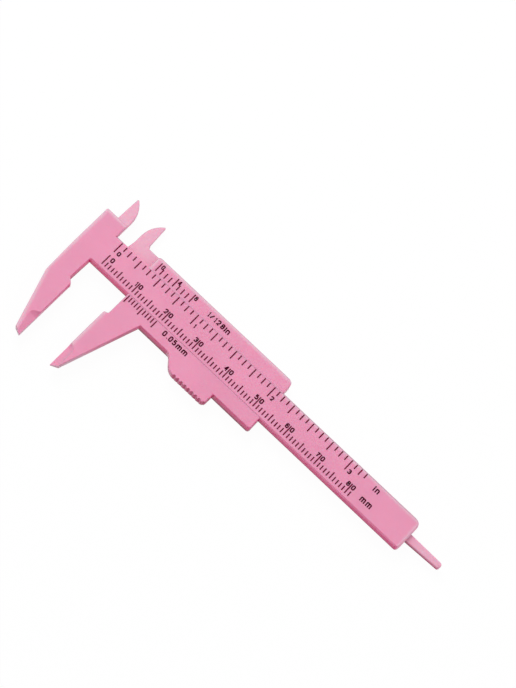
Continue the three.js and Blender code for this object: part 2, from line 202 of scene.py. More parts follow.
# Graduations. Each length of mark is given with the step from one mark of that length to the next.
INCH = 25.4
TICK_DEPTH = 0.1
TICK_WIDTH = 0.33
INK_SLACK = 0.006
MM_MARKS = 82
MM_FOOT = 1.05
MM_LENGTHS = ((10, 3.05), (5, 2.02), (1, 1.37))
INCH_MARKS = 52
INCH_DIVISIONS = 16
INCH_HEAD = 8.34
INCH_LENGTHS = ((16, 3.05), (4, 2.56), (2, 1.75), (1, 1.36))
VERNIER_MM_DIVISIONS = 10
VERNIER_MM_SPAN = 9.0
VERNIER_MM_HEAD = 0.1
VERNIER_MM_LENGTHS = ((5, 2.15), (1, 1.42))
VERNIER_INCH_DIVISIONS = 8
VERNIER_INCH_SPAN = INCH * 7 / 16
VERNIER_INCH_FOOT = 8.98
VERNIER_INCH_LENGTHS = ((4, 2.58), (1, 1.62))

SLIDER_START = READING - UPPER_LIP_TO_VERNIER
SLIDER_END = SLIDER_START + SLIDER_LENGTH
LOWER_LIP_START = READING - FACE_TO_ZERO + MOVING_RELIEF

# Neighbouring faces that meet at less than this angle are shaded as one rounded surface
SMOOTH_ANGLE = math.radians(23.5)

# The least that a mitre is divided by, which keeps sharp corners of outlines and of strokes short
OUTLINE_MITRE = 0.3
STROKE_MITRE = 0.45

# Sides of the object where painted shade deepens the walls' colour, away from the key lamp, and where painted
# light pales the rims, towards it
PAINTED_SHADE_SIDE = (0.85, -0.5, 0)
PAINTED_LIGHT_SIDE = (-0.6, 0.8, 0)

# How far the surface turns to a side, from 0 to 1, where a look starts and where it is full
WALL_TURN = (0.3, 0.1)
PAINTED_SHADE_TURN = (0.2, 0.45)
PAINTED_LIGHT_TURN = (0.15, 0.5)
END_TURN = (0.4, 0.8)
TIP_TURN = (0.85, 0.55)

# Where a look starts and where it is full, in millimetres from the middle of the part's back
HIDDEN_RIM_LEFT = (-49, -50.5)
HIDDEN_RIM_RIGHT = (2.8, 3.5)
BEAM_END_REACH = (45, 46)
BOUNCE_LIGHT_ACROSS = (-38, -41.5)
BOUNCE_LIGHT_UP = (-3, 2)
ROD_SHADOW_REACH = (47, 54)
ROD_WALL_SHADOW_REACH = (49, 58)
BLADES_UP = (11.7, 12.0)
JAW_WALL_UP = (-16, -1)
JAW_RIM_UP = (-12, -18)
RIBS_UP = (-2.6, -0.9)
FOOT_SHADE_HEIGHT = (0.2, 2.6)
RIM_HEIGHT = (3.4, 3.65)
BLADE_HEIGHT = (3.9, 3.8)
FACE_HEIGHT = (3.76, 3.86)

# How strong a look is, where that isn't full or where it is at its least
PLAIN_WALL_SHARE = 0.45
JAW_WALL_SHARE = 0.45
END_WALL_SHARE = 0.1
END_GLINT_SHARE = 0.8
TIP_RIM_LIGHT_SHARE = 0.75
RIB_SHADE_SHARE = 0.5
ROD_SHADOW_LIGHT_SHARE = 0.5
ROD_WALL_SHADOW_SHARE = 0.5

# How wide the band of painted light beside some edges of the front face is, where it is at its palest, and
# how long it takes to set in along its edge
EDGE_LIGHT_WIDTH = 1.2
EDGE_LIGHT_INNER = 0.3
EDGE_LIGHT_FADE = 1.0

# How the plastic and the ink take the light
TRANSLUCENT = {
    "IOR": 1.49,
    "Specular IOR Level": 0.12,
    "Subsurface Weight": 0.45,
    "Subsurface Radius": (1.0, 0.36, 0.55),
}
INK_GLOSS = {"Specular IOR Level": 0.03}

# Unevenness of the plastic and the ink, with each scale in waves to the millimetre
CLOUDS = {"Scale": 0.11, "Detail": 2.0, "Roughness": 0.5}
GRAIN = {"Scale": 2.6, "Detail": 5.0, "Roughness": 0.62}
SCRATCHES = {"Scale": 1.0, "Detail": 3.0, "Roughness": 0.6}
SCRATCH_TURN = (0, 0, 0.35)
SCRATCH_STRETCH = (0.16, 5.5, 1.0)
SCRATCH_CUT = (0.63, 0.72)
GRAIN_SEED = 3.1
SCRATCH_SEED = 7.7
NOISE_MIDDLE = (0.3, 0.7)
CLOUD_SHADES = (0.975, 1.02)
ROUGHNESS_LESS = 0.04
ROUGHNESS_MORE = 0.05
SCRATCH_ROUGHNESS = 0.12
GRAIN_RELIEF = 0.5
SCRATCH_RELIEF = -0.3
MOULDED_BUMP = {"Strength": 0.22, "Distance": 0.012 * MM}
INK_PATCHES = {"Scale": 1.7, "Detail": 4.0}
INK_BUMP = {"Strength": 0.3, "Distance": 0.006 * MM}
INK_ROUGHNESS = (0.42, 0.6)
INK_WORN_CUT = (0.45, 0.78)
INK_WORN_SHADE = 1.5
INK_WORN_LIFT = 0.002

# Studio in metres, with the camera's turn as a quaternion
FLOOR_REACH = 3.0
FLOOR_DROP = 0.02 * MM
WHITE = (1, 1, 1, 1)
PAPER = (0.95, 0.95, 0.95, 1)
PAPER_LIGHT_SHARE = 0.96
KEY_LAMP_PLACE = (-0.45, 0.4, 0.62)
KEY_LAMP_SIZE = 0.5
FILL_LAMP_PLACE = (0.55, -0.2, 0.4)
FILL_LAMP_SIZE = 0.4
CAMERA_PLACE = (0.039273, -0.135082, 0.520126)
CAMERA_TURN = (0.916901, 0.1483983, -0.0107166, 0.3703452)
CAMERA_SENSOR_MM = 36.0
CAMERA_CLIP = (0.01, 20.0)

# From the sizes' own zero to the middle of the part's box, in millimetres
ROD_TIP_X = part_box("depth_rod")[1].x / MM
JAW_TIP_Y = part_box("main_beam")[0].y / MM
TO_PART = Vector((ROD_TIP_X - BEAM_END - READING, JAW_TIP_Y + JAW_REACH, 0))

# Letter shapes as strokes: closed or open, then corners [across, up, round] as shares of width, height
# and width
LETTER_STROKE_SHARES = {
    "0": [(True, [(0, 0, 0.42), (1, 0, 0.42), (1, 1, 0.42), (0, 1, 0.42)])],
    "1": [(False, [(0, 0.74, 0), (0.45, 0.8, 0), (1, 1, 0), (1, 0, 0)])],
    "2": [(False, [(0, 0.72, 0), (0, 1, 0.42), (1, 1, 0.42), (1, 0.52, 0.3), (0, 0, 0), (1, 0, 0)])],
    "3": [
        (False, [(0, 0.78, 0), (0, 1, 0.4), (1, 1, 0.4), (0.96, 0.53, 0.25), (0.35, 0.53, 0)]),
        (False, [(0.35, 0.53, 0), (1, 0.53, 0.3), (1, 0, 0.42), (0, 0, 0.42), (0, 0.25, 0)]),
    ],
    "4": [(False, [(0.76, 0, 0), (0.76, 1, 0), (0.62, 1, 0), (0, 0.28, 0), (1, 0.28, 0)])],
    "5": [
        (False, [(0.92, 1, 0), (0.1, 1, 0), (0.03, 0.5, 0)]),
        (False, [(0.03, 0.5, 0), (0.3, 0.62, 0.2), (1, 0.64, 0.42), (1, 0, 0.42), (0, 0, 0.42), (0, 0.2, 0)]),
    ],
    "6": [
        (False, [(1, 0.82, 0), (1, 1, 0.4), (0, 1, 0.42), (0, 0.3, 0)]),
        (True, [(0, 0, 0.42), (1, 0, 0.42), (1, 0.58, 0.42), (0, 0.58, 0.42)]),
    ],
    "7": [(False, [(0, 1, 0), (1, 1, 0), (0.55, 0.5, 0.2), (0.38, 0, 0)])],
    "8": [
        (True, [(0, 0, 0.42), (1, 0, 0.42), (1, 0.53, 0.36), (0, 0.53, 0.36)]),
        (True, [(0.06, 0.53, 0.36), (0.94, 0.53, 0.36), (0.94, 1, 0.42), (0.06, 1, 0.42)]),
    ],
    "m": [
        (False, [(0, 0, 0), (0, 0.72, 0)]),
        (False, [(0, 0.5, 0), (0, 0.72, 0.14), (0.5, 0.72, 0.22), (0.5, 0, 0)]),
        (False, [(0.5, 0.5, 0), (0.5, 0.72, 0.14), (1, 0.72, 0.22), (1, 0, 0)]),
    ],
    "n": [
        (False, [(0, 0, 0), (0, 0.72, 0)]),
        (False, [(0, 0.46, 0), (0, 0.72, 0.3), (1, 0.72, 0.42), (1, 0, 0)]),
    ],
    "i": [(False, [(0, 0, 0), (0, 0.72, 0)]), (False, [(0, 0.9, 0), (0, 1.04, 0)])],
    "/": [(False, [(0, 0, 0), (1, 1, 0)])],
    ".": [(False, [(0, -0.06, 0), (0, 0.1, 0)])],
}

# Lettering: character, and the left and right of its ink from its mark or from the scales' zero
TENS_FIRST = (-1.25, -0.32)
TENS_ZERO = (0.3, 1.27)
TENS_DIGITS = "12345678"
INCH_DIGITS = "0123"
ONE_WIDTH = 0.55
ONE_SHIFT = 0.1
FOOT_LINE_LETTERS = "147mni"
STROKE_STEPS = 6
ZERO_PLACE = (0.88, 1.86)
INCH_PLACE = (0.82, 1.76)
VERNIER_DIGITS = {0: ("0", 0.5, 1.28), 4: ("4", 0.45, 1.32), 8: ("8", 0.38, 1.18)}
MM_DIGIT_FOOT = 2.8
MM_DIGIT_HEIGHT = 1.33
INCH_DIGIT_FOOT = 5.13
INCH_DIGIT_HEIGHT = 1.2
INCH_DIGIT_STROKE_SHARE = 0.93
VERNIER_DIGIT_FOOT = 10.28
VERNIER_DIGIT_HEIGHT = 1.25
FINENESS_MM = [
    ("0", 22.3, 23.28),
    (".", 23.68, 23.94),
    ("0", 24.28, 25.26),
    ("5", 25.54, 26.5),
    ("m", 26.8, 28.32),
    ("m", 28.62, 30.14),
]
FINENESS_MM_FOOT = -1.5
FINENESS_MM_HEIGHT = 1.47
FINENESS_INCH = [
    ("1", 26.72, 27.28),
    ("/", 27.52, 28.5),
    ("1", 28.82, 29.38),
    ("2", 29.7, 30.68),
    ("8", 31.02, 32.0),
    ("i", 32.24, 32.5),
    ("n", 32.76, 33.78),
]
FINENESS_INCH_FOOT = 9.65
FINENESS_INCH_HEIGHT = 1.42
UNIT_IN = [("i", 84.34, 84.6), ("n", 84.98, 86.0)]
UNIT_IN_FOOT = 6.25
UNIT_IN_HEIGHT = 1.55
UNIT_MM = [("m", 83.62, 85.14), ("m", 85.48, 87.0)]
UNIT_MM_FOOT = 2.26
UNIT_MM_HEIGHT = 1.62


def length_setting(name, about, value, low, high):
    """A property that holds a length, given here in millimetres."""
    return FloatProperty(
        name=name,
        description=about,
        default=value * MM,
        min=low * MM,
        max=high * MM,
        precision=6,
        unit="LENGTH",
    )


def colour_setting(name, about, value):
    return FloatVectorProperty(
        name=name,
        description=about,
        default=value,
        subtype="COLOR",
        size=3,
        min=0,
        max=1,
    )


def level_setting(name, about, value, **kind):
    """A property that holds a level from 0 up. kind is its unit or subtype, and its top if it has one."""
    return FloatProperty(name=name, description=about, default=value, min=0, **kind)


class CaliperFormSettings(PropertyGroup):
    """How the moulded edges and the inked marks are made."""

    edge_round: length_setting(
        "Edge Rounding", "How far the moulded edges are rounded over", 0.3, 0.05, 0.5,
    )
    seam_round: length_setting(
        "Seam Rounding", "Rounding of the slider's lips beside the beam", 0.1, 0.02, 0.3,
    )
    seam_gap: length_setting(
        "Seam Gap", "Gap between the beam's lower bevel and the slider's lip", 0.055, 0.02, 0.12,
    )
    upper_seam_gap: length_setting(
        "Upper Seam Gap", "Gap between the beam's upper bevel and the slider's lip", 0.015, 0.01, 0.12,
    )
    round_steps: IntProperty(
        name="Rounding Steps",
        description="Steps across each rounded edge",
        default=4,
        min=1,
        max=6,
    )
    curve_steps: IntProperty(
        name="Curve Steps",
        description="Steps along each rounded corner of an outline",
        default=12,
        min=4,
        max=32,
    )
    ink_sink: length_setting(
        "Ink Sink", "How far the ink in the graduation grooves lies under the surface", 0.012, 0, 0.08,
    )
    ink_film: length_setting(
        "Ink Film", "How far the printed letters stand proud of the surface", 0.012, 0.004, 0.05,
    )
    letter_stroke: length_setting(
        "Letter Stroke", "Stroke width of the scale numbers and words", 0.335, 0.1, 0.4,
    )
    vernier_stroke: length_setting(
        "Vernier Stroke", "Stroke width of the small numbers on the inch vernier", 0.28, 0.1, 0.4,
    )


class CaliperPlasticSettings(PropertyGroup):
    """Colours and finish of the moulded plastic and its ink, among them the colours of its painted light and
    shade.
    """

    face_colour: colour_setting(
        "Face Colour", "Colour of the plastic's broad faces", (0.79, 0.318, 0.472),
    )
    # Painted shade: the walls take this colour most where they face away from the key lamp, and partly
    # elsewhere
    painted_wall_shade_colour: colour_setting(
        "Wall Colour", "Deeper colour that the plastic shows on its side walls", (0.66, 0.025, 0.18),
    )
    # Painted shade at the back edge of the walls, near the floor, round the thumb rest and on the rod's walls
    # near the beam's end
    painted_foot_shade_colour: colour_setting(
        "Root Colour", "Deepest colour, at the back edge of the side walls", (0.30, 0.003, 0.06),
    )
    # Painted bounce light: the walls between the jaws round the head's inner corner are brightened with this
    painted_bounce_light_colour: colour_setting(
        "Corner Colour", "Vivid colour of the walls round the inner corner of the head", (0.82, 0.032, 0.22),
    )
    # Painted light: the rims that face the key lamp, and the walls at the jaws' tips, are paled with this
    painted_rim_light_colour: colour_setting(
        "Rim Colour", "Paler colour of the rounded rims, where light gets through", (0.56, 0.32, 0.41),
    )
    # Painted light: a band of the front face beside some of its edges is paled with this
    painted_edge_light_colour: colour_setting(
        "Edge Colour", "Paler colour of the front face beside some of its edges", (0.77, 0.47, 0.575),
    )
    # Painted light shining through the thin blades and the rod, and a painted glint on the beam's end
    painted_through_light_colour: colour_setting(
        "Thin Colour", "Paler colour where the plastic is thin", (0.80, 0.43, 0.555),
    )
    mark_colour: colour_setting(
        "Mark Colour", "Colour of the thin ink in the grooves of the marks", (0.14, 0.002, 0.024),
    )
    letter_colour: colour_setting(
        "Letter Colour", "Colour of the thick ink of the numbers and words", (0.075, 0.001, 0.015),
    )
    roughness: level_setting(
        "Roughness", "Roughness of the moulded surface", 0.34, max=1, subtype="FACTOR",
    )
    glow_depth: length_setting("Light Depth", "How deep light travels in the plastic", 0.7, 0, 5)


class CaliperStudioSettings(PropertyGroup):
    """Floor, lamps and camera of the studio."""

    floor_colour: colour_setting("Floor Colour", "Colour of the floor", (0.8, 0.8, 0.8))
    key_power: level_setting(
        "Key Power", "Power of the large soft lamp above the caliper's head", 4.1, unit="POWER",
    )
    fill_power: level_setting(
        "Fill Power", "Power of the weak lamp beyond the depth rod", 0.6, unit="POWER",
    )
    sky_level: level_setting(
        "Sky Level", "Level of the even light from all round", 0.6, max=2, subtype="FACTOR",
    )
    camera_lens: FloatProperty(
        name="Camera Lens",
        description="Focal length for the framing of the caliper",
        default=117.616,
        min=10,
        max=400,
        unit="CAMERA",
    )


def form_mm(name):
    """One of the form's lengths in millimetres."""
    return getattr(bpy.context.scene.caliper_form, name) / MM


# Outlines

def curve(start, pull, end, steps):
    """Points of a curve that leaves its start towards the pull and comes to its end from there."""
    start, pull, end = np.array([start, pull, end], float)
    shares = np.linspace(0, 1, steps + 1)
    return [(1 - t) ** 2 * start + 2 * t * (1 - t) * pull + t ** 2 * end for t in shares]


def rounded(corners, closed, steps, most):
    """Corners [x, y, round] as points, with a short curve at each rounded corner.

    most is the largest share of a side that a curve may take. The ends of an open line stay sharp."""
    points = []
    for i, (x, y, *rounding) in enumerate(corners):
        here = np.array((x, y), float)
        if not any(rounding) or (not closed and i in (0, len(corners) - 1)):
            points.append(here)
            continue
        before = np.array(corners[i - 1][:2], float) - here
        after = np.array(corners[(i + 1) % len(corners)][:2], float) - here
        start = here + before * min(rounding[0] / np.linalg.norm(before), most)
        end = here + after * min(rounding[0] / np.linalg.norm(after), most)
        points += curve(start, here, end, steps)
    return points


def outline(corners):
    """Corners [x, y, round] as a closed line, anticlockwise."""
    return anticlockwise(rounded(corners, True, bpy.context.scene.caliper_form.curve_steps, 1))


def anticlockwise(points):
    """The points without repeats, turning anticlockwise."""
    points = np.array(points, float)
    line = np.array([p for i, p in enumerate(points) if np.linalg.norm(p - points[i - 1]) > OUTLINE_REPEAT])
    after = np.roll(line, -1, 0)
    area = np.sum(line[:, 0] * after[:, 1] - after[:, 0] * line[:, 1])
    return line if area > 0 else line[::-1]


def mitres(into, out, least):
    """The way left at each corner that moves both of its sides by one. least keeps sharp corners short."""
    into = into / np.linalg.norm(into, axis=1)[:, None]
    out = out / np.linalg.norm(out, axis=1)[:, None]
    left_in = np.stack([-into[:, 1], into[:, 0]], 1)
    left_out = np.stack([-out[:, 1], out[:, 0]], 1)
    return (left_in + left_out) / np.maximum(1 + np.sum(left_in * left_out, 1), least)[:, None]


def inset(line, distance):
    """The closed line moved inwards, by one distance or by one for each point."""
    into = line - np.roll(line, 1, 0)
    out = np.roll(line, -1, 0) - line
    return line + mitres(into, out, OUTLINE_MITRE) * np.reshape(distance, (-1, 1))


# Meshes in millimetres

def new_mesh(points, faces):
    mesh = bpy.data.meshes.new("work")
    mesh.from_pydata([tuple(map(float, p)) for p in points], [], faces)
    mesh.validate()
    return mesh


def stacked(rings):
    """A closed mesh through rings of points, each with as many points, from the back to the front."""
    count = len(rings[0])
    points = np.concatenate(rings)
    faces = [list(range(count))[::-1]]
    for level in range(len(rings) - 1):
        low = level * count
        high = low + count
        for i in range(count):
            j = (i + 1) % count
            faces.append([low + i, low + j, high + j, high + i])
    top = (len(rings) - 1) * count
    faces.append(list(range(top, top + count)))
    return new_mesh(points, faces)


def at_height(line, height):
    return np.column_stack([line, np.broadcast_to(height, len(line))])


def moulded_plate(line, low, high, front=None, back=None):
    """A plate of the outline's shape with its front and back rims rounded over.

    Each rim's rounding is one size in millimetres, or one for each point of the outline."""
    front = form_mm("edge_round") if front is None else front
    back = form_mm("edge_round") if back is None else back
    angles = np.linspace(0, math.pi / 2, bpy.context.scene.caliper_form.round_steps + 1)
    rings = []
    for angle in angles:
        rings.append(at_height(inset(line, back * (1 - math.sin(angle))), low + back * (1 - math.cos(angle))))
    for angle in angles:
        height = high - front * (1 - math.sin(angle))
        rings.append(at_height(inset(line, front * (1 - math.cos(angle))), height))
    return stacked(rings)


def plain_plate(line, low, high):
    return stacked([at_height(line, low), at_height(line, high)])


def bar(section, start, end):
    """A bar along X with a section given in Y and Z."""
    rings = [np.column_stack([np.full(len(section), x), section]) for x in (start, end)]
    return stacked(rings)


def block(low, high):
    (x0, y0, z0), (x1, y1, z1) = low, high
    corners = np.array([(x0, y0), (x1, y0), (x1, y1), (x0, y1)], float)
    return plain_plate(corners, z0, z1)


def gathered(meshes):
    """Several meshes as one, without joining them where they meet."""
    held = bmesh.new()
    for mesh in meshes:
        held.from_mesh(mesh)
        bpy.data.meshes.remove(mesh)
    made = bpy.data.meshes.new("work")
    held.to_mesh(made)
    held.free()
    return made


def tidied(mesh):
    """The mesh with doubled points merged and its faces turned outwards."""
    held = bmesh.new()
    held.from_mesh(mesh)
    bmesh.ops.remove_doubles(held, verts=held.verts, dist=MERGE_REACH)
    bmesh.ops.dissolve_degenerate(held, edges=held.edges, dist=MERGE_REACH)
    bmesh.ops.recalc_face_normals(held, faces=held.faces)
    held.to_mesh(mesh)
    held.free()
    return mesh


def new_object(name, data):
    made = bpy.data.objects.new(name, data)
    bpy.context.scene.collection.objects.link(made)
    return made


def worked(base, tool, operation):
    """The base mesh joined with the tool mesh or cut by it."""
    body = new_object("work_body", base)
    other = new_object("work_tool", tidied(tool))
    step = body.modifiers.new("work", "BOOLEAN")
    step.operation = operation
    step.solver = "EXACT"
    step.object = other
    shown = body.evaluated_get(bpy.context.evaluated_depsgraph_get())
    made = bpy.data.meshes.new_from_object(shown)
    for thing in (body, other):
        mesh = thing.data
        bpy.data.objects.remove(thing)
        bpy.data.meshes.remove(mesh)
    if not made.polygons:
        raise RuntimeError("a cut or join of the caliper's moulding left nothing")
    return made


def joined(base, *tools):
    for tool in tools:
        base = worked(base, tool, "UNION")
    return base


def carved(base, *tools):
    for tool in tools:
        base = worked(base, tool, "DIFFERENCE")
    return base


def set_piece(name, mesh, body, material, node=None):
    """Puts a finished mesh in the part's place as a piece that rides on a body."""
    tidied(mesh)
    mesh.transform(Matrix.Diagonal((MM, MM, MM, 1)) @ Matrix.Translation(TO_PART))
    mesh.name = name
    mesh.materials.clear()
    mesh.materials.append(material)
    mesh.shade_smooth()
    mesh.set_sharp_from_angle(angle=SMOOTH_ANGLE)
    piece = new_object(name, mesh)
    shading = piece.modifiers.new("even_shading", "WEIGHTED_NORMAL")
    shading.keep_sharp = True
    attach(piece, body)
    if node:
        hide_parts(node)


# Moulded pieces

def bevel_steps(bevel):
    """A flat bevel with both ends eased, as pairs of inset and drop from the front face, from below."""
    slope = BEVEL_EASE * math.sqrt(0.5)
    along, across = (BEVEL_EASE * share for share in EASE_MIDDLE)
    return [
        (0, bevel + BEVEL_EASE),
        (along, bevel + across),
        (slope, bevel - slope),
        (bevel - slope, slope),
        (bevel + across, along),
        (bevel + BEVEL_EASE, 0),
    ]


def beam_bar():
    """The straight part of the beam, with bevelled edges at its front."""
    start = -FACE_TO_ZERO - FIXED_RELIEF - OVERRUN
    line = outline([
        (start, 0),
        (BEAM_END, 0, END_ROUND_LOWER),
        (BEAM_END, BEAM_WIDTH, END_ROUND_UPPER),
        (start, BEAM_WIDTH),
    ])
    share = line[:, 1] / BEAM_WIDTH
    bevel = LOWER_BEVEL + (UPPER_BEVEL - LOWER_BEVEL) * share
    back = form_mm("edge_round") * BACK_ROUND_SHARE
    rings = [at_height(inset(line, back), BEAM_BACK), at_height(line, BEAM_BACK + back)]
    rings += [at_height(inset(line, across), THICKNESS - drop) for across, drop in bevel_steps(bevel)]
    return stacked(rings)


def head_line():
    """The raised face of the head and the fixed outside jaw. Its right side ends inside the beam."""
    face_x = -FACE_TO_ZERO
    relief_x = face_x - FIXED_RELIEF
    margin_x = -BLADE_EDGE_TO_ZERO + BLADE_WIDTH - BLADE_MARGIN
    top = BEAM_WIDTH + HEAD_RISE
    return outline([
        (margin_x, top - BLADE_STEP_DROP, BLADE_STEP_ROUND),
        (-BLADE_EDGE_TO_ZERO, top),
        (-HEAD_LEFT, top, HEAD_CORNER),
        (-HEAD_LEFT, 0, HEAD_LEFT_BEND),
        (-HEAD_LEFT_LOW, -HEAD_TAPER_START, HEAD_CORNER),
        (face_x - FIXED_TIP_WIDTH, -JAW_POINT + JAW_TIP_SLANT),
        (face_x, -JAW_POINT),
        (face_x, -RELIEF_REACH - FIXED_RELIEF_SLANT, RELIEF_ROUND),
        (relief_x, -RELIEF_REACH, RELIEF_ROUND),
        (relief_x + RELIEF_LEAN, BLADE_MARGIN, RELIEF_TOP_ROUND),
        (relief_x + RELIEF_LEAN + RELIEF_TOP_ROUND + BLADE_MARGIN, BLADE_MARGIN),
        (relief_x + RELIEF_LEAN + RELIEF_TOP_ROUND + BLADE_MARGIN, BEAM_WIDTH / 2),
        (margin_x, BEAM_WIDTH / 2),
    ])


def moving_jaw_line():
    """The moving outside jaw. Its upper end lies inside the slider's lower lip."""
    face_x = READING - FACE_TO_ZERO
    relief_x = face_x + MOVING_RELIEF
    return outline([
        (face_x, -RELIEF_REACH - MOVING_RELIEF_SLANT, RELIEF_ROUND),
        (face_x, -JAW_POINT),
        (face_x + MOVING_TIP_WIDTH, -JAW_POINT + JAW_TIP_SLANT),
        (face_x + MOVING_JAW_ROOT, -SLIDER_DROP),
        (face_x + MOVING_JAW_ROOT, -SLIDER_DROP / 2),
        (relief_x, -SLIDER_DROP / 2),
        (relief_x, -RELIEF_REACH, RELIEF_ROUND),
    ])


def blade_line(edge_x, side, root, width, spread, lean):
    """An inside jaw's blade. side is 1 where its body lies to the right of its measuring edge.

    The edge leans a little towards the back, and the back spreads at its root."""
    steps = bpy.context.scene.caliper_form.curve_steps * 2
    top = BEAM_WIDTH + BLADE_REACH
    tip_x = edge_x + side * lean
    back_x = edge_x + side * width
    tip = (tip_x + side * BLADE_TIP, top)
    return anticlockwise([
        (edge_x, root),
        (edge_x, BEAM_WIDTH + HEAD_RISE),
        (tip_x, top - BLADE_TIP),
        *curve(tip, (back_x, top - BLADE_BULGE), (back_x, BEAM_WIDTH + BLADE_SHOULDER), steps),
        (back_x, BEAM_WIDTH + HEAD_RISE - OVERRUN),
        (back_x + side * spread, root),
    ])


def knife_cutters(face_x, side, widths, step):
    """The cutters that leave the scooped knife facets at a jaw's tip, on its front and its back.

    side is 1 for a jaw that faces +X. Each facet falls towards the measuring face, runs out upwards, and
    is as wide as the two widths say at its upper end and at the jaw's tip. It starts with a small step."""
    reach = max(widths)
    across = np.array([-step / 2, step / 2, reach + OVERRUN, reach + OVERRUN, -step / 2])
    along = [-KNIFE_LENGTH - OVERRUN, *np.linspace(-KNIFE_RUN_OUT, KNIFE_PAST_END, KNIFE_STEPS)]
    back_depth = KNIFE_DEPTH * KNIFE_BACK_SHARE
    cutters = []
    for surface, outward, depth in ((THICKNESS, 1, KNIFE_DEPTH), (BEAM_BACK, -1, back_depth)):
        rings = []
        falls = np.array([step / 2, -step / 2, -step / 2 - (depth - step / 2) * (1 + OVERRUN / reach)])
        for y in along:
            run_out = depth * max(1 + y / KNIFE_RUN_OUT, 0) ** 2
            rises = np.append(falls + run_out, [KNIFE_CLEARANCE, KNIFE_CLEARANCE])
            width = widths[0] - (widths[1] - widths[0]) * y / KNIFE_LENGTH
            x = face_x - side * (width - across)
            level = np.full(len(x), y - JAW_POINT + KNIFE_LENGTH)
            rings.append(np.column_stack([x, level, surface + outward * rises]))
        cutters.append(stacked(rings))
    return gathered(cutters)


def face_bevel(line, face_x, lean, bevel, elsewhere):
    """Rounding for each point of a jaw's back rim: more along its measuring face than elsewhere."""
    return np.where(np.abs(line[:, 0] - face_x) < lean + SAME_PLACE, bevel, elsewhere)


def rod_channel():
    """The channel in the beam's back: wide for the rod's foot, narrow at the free end."""
    wide = FOOT_WIDTH / 2 + CHANNEL_SIDE_GAP
    narrow = ROD_WIDTH / 2 + CHANNEL_SIDE_GAP
    floor = BEAM_BACK - OVERRUN
    line = np.array([
        (CHANNEL_START, ROD_MIDDLE - wide),
        (CHANNEL_STOP, ROD_MIDDLE - wide),
        (CHANNEL_STOP, ROD_MIDDLE - narrow),
        (BEAM_END + OVERRUN, ROD_MIDDLE - narrow),
        (BEAM_END + OVERRUN, ROD_MIDDLE + narrow),
        (CHANNEL_STOP, ROD_MIDDLE + narrow),
        (CHANNEL_STOP, ROD_MIDDLE + wide),
        (CHANNEL_START, ROD_MIDDLE + wide),
    ])
    return plain_plate(line, floor, CHANNEL_ROOF)


def beam_mesh():
    head_outline = head_line()
    plain_round = form_mm("edge_round") * BACK_ROUND_SHARE
    back = face_bevel(head_outline, -FACE_TO_ZERO, 0, JAW_BACK_BEVEL, plain_round)
    head = moulded_plate(head_outline, BEAM_BACK, THICKNESS, back=back)
    blade_outline = blade_line(-BLADE_EDGE_TO_ZERO, 1, BEAM_WIDTH / 2, BLADE_WIDTH, 0, BLADE_LEAN)
    blade = moulded_plate(blade_outline, RECESS_ROOF, BLADE_FRONT)
    recess = block(
        (-HEAD_LEFT - OVERRUN, BEAM_WIDTH, -OVERRUN),
        (-BLADE_EDGE_TO_ZERO + BLADE_WIDTH + OVERRUN, BEAM_WIDTH + BLADE_REACH, RECESS_ROOF),
    )
    body = joined(beam_bar(), carved(head, recess), blade)
    knife = knife_cutters(-FACE_TO_ZERO, 1, FIXED_KNIFE_WIDTHS, FIXED_KNIFE_STEP)
    return carved(body, rod_channel(), knife, mark_grooves(mm_marks() + inch_marks()))


def lip_steps(bevel, gap, ease):
    """One edge of the way's open front: a slope along the beam's bevel, then the lip's rounded corner.

    Each pair is a distance inwards from the beam's edge and a height, from below."""
    slope = ease * math.sqrt(0.5)
    corner = bevel - gap * math.sqrt(2)
    return [
        (-SLIDE_GAP, THICKNESS - corner - SLIDE_GAP),
        (corner - slope, THICKNESS - slope),
        (corner - LIP_EASE_MIDDLE[0] * ease, THICKNESS - LIP_EASE_MIDDLE[1] * ease),
        (corner - ease, THICKNESS),
        (corner - ease, THICKNESS + OVERRUN),
    ]


def slider_body():
    """The slider's two lips and back plate, with the beam's way cut through them."""
    line = outline([
        (SLIDER_START, BEAM_WIDTH / 2),
        (LOWER_LIP_START, BEAM_WIDTH / 2),
        (LOWER_LIP_START, -SLIDER_DROP),
        (SLIDER_END + LOWER_END_LEAD, -SLIDER_DROP, LOWER_END_ROUND),
        (SLIDER_END, BEAM_WIDTH + LIP_RISE, LIP_END_ROUND),
        (SLIDER_START, BEAM_WIDTH + LIP_RISE, LIP_START_ROUND),
    ])
    lower = lip_steps(LOWER_BEVEL, form_mm("seam_gap"), form_mm("seam_round"))
    upper_round = form_mm("seam_round") * UPPER_SEAM_ROUND_SHARE
    upper = lip_steps(UPPER_BEVEL, form_mm("upper_seam_gap"), upper_round)
    section = np.array([
        (-SLIDE_GAP, BEAM_BACK - BACK_GAP),
        (BEAM_WIDTH + SLIDE_GAP, BEAM_BACK - BACK_GAP),
        *[(BEAM_WIDTH - across, height) for across, height in upper],
        *[(across, height) for across, height in reversed(lower)],
    ])
    way = bar(section, SLIDER_START - OVERRUN, SLIDER_END + OVERRUN)
    edge = form_mm("edge_round")
    front = np.where(line[:, 1] > BEAM_WIDTH, UPPER_BEVEL, edge)
    return carved(moulded_plate(line, 0, THICKNESS, front, edge * BACK_ROUND_SHARE), way)


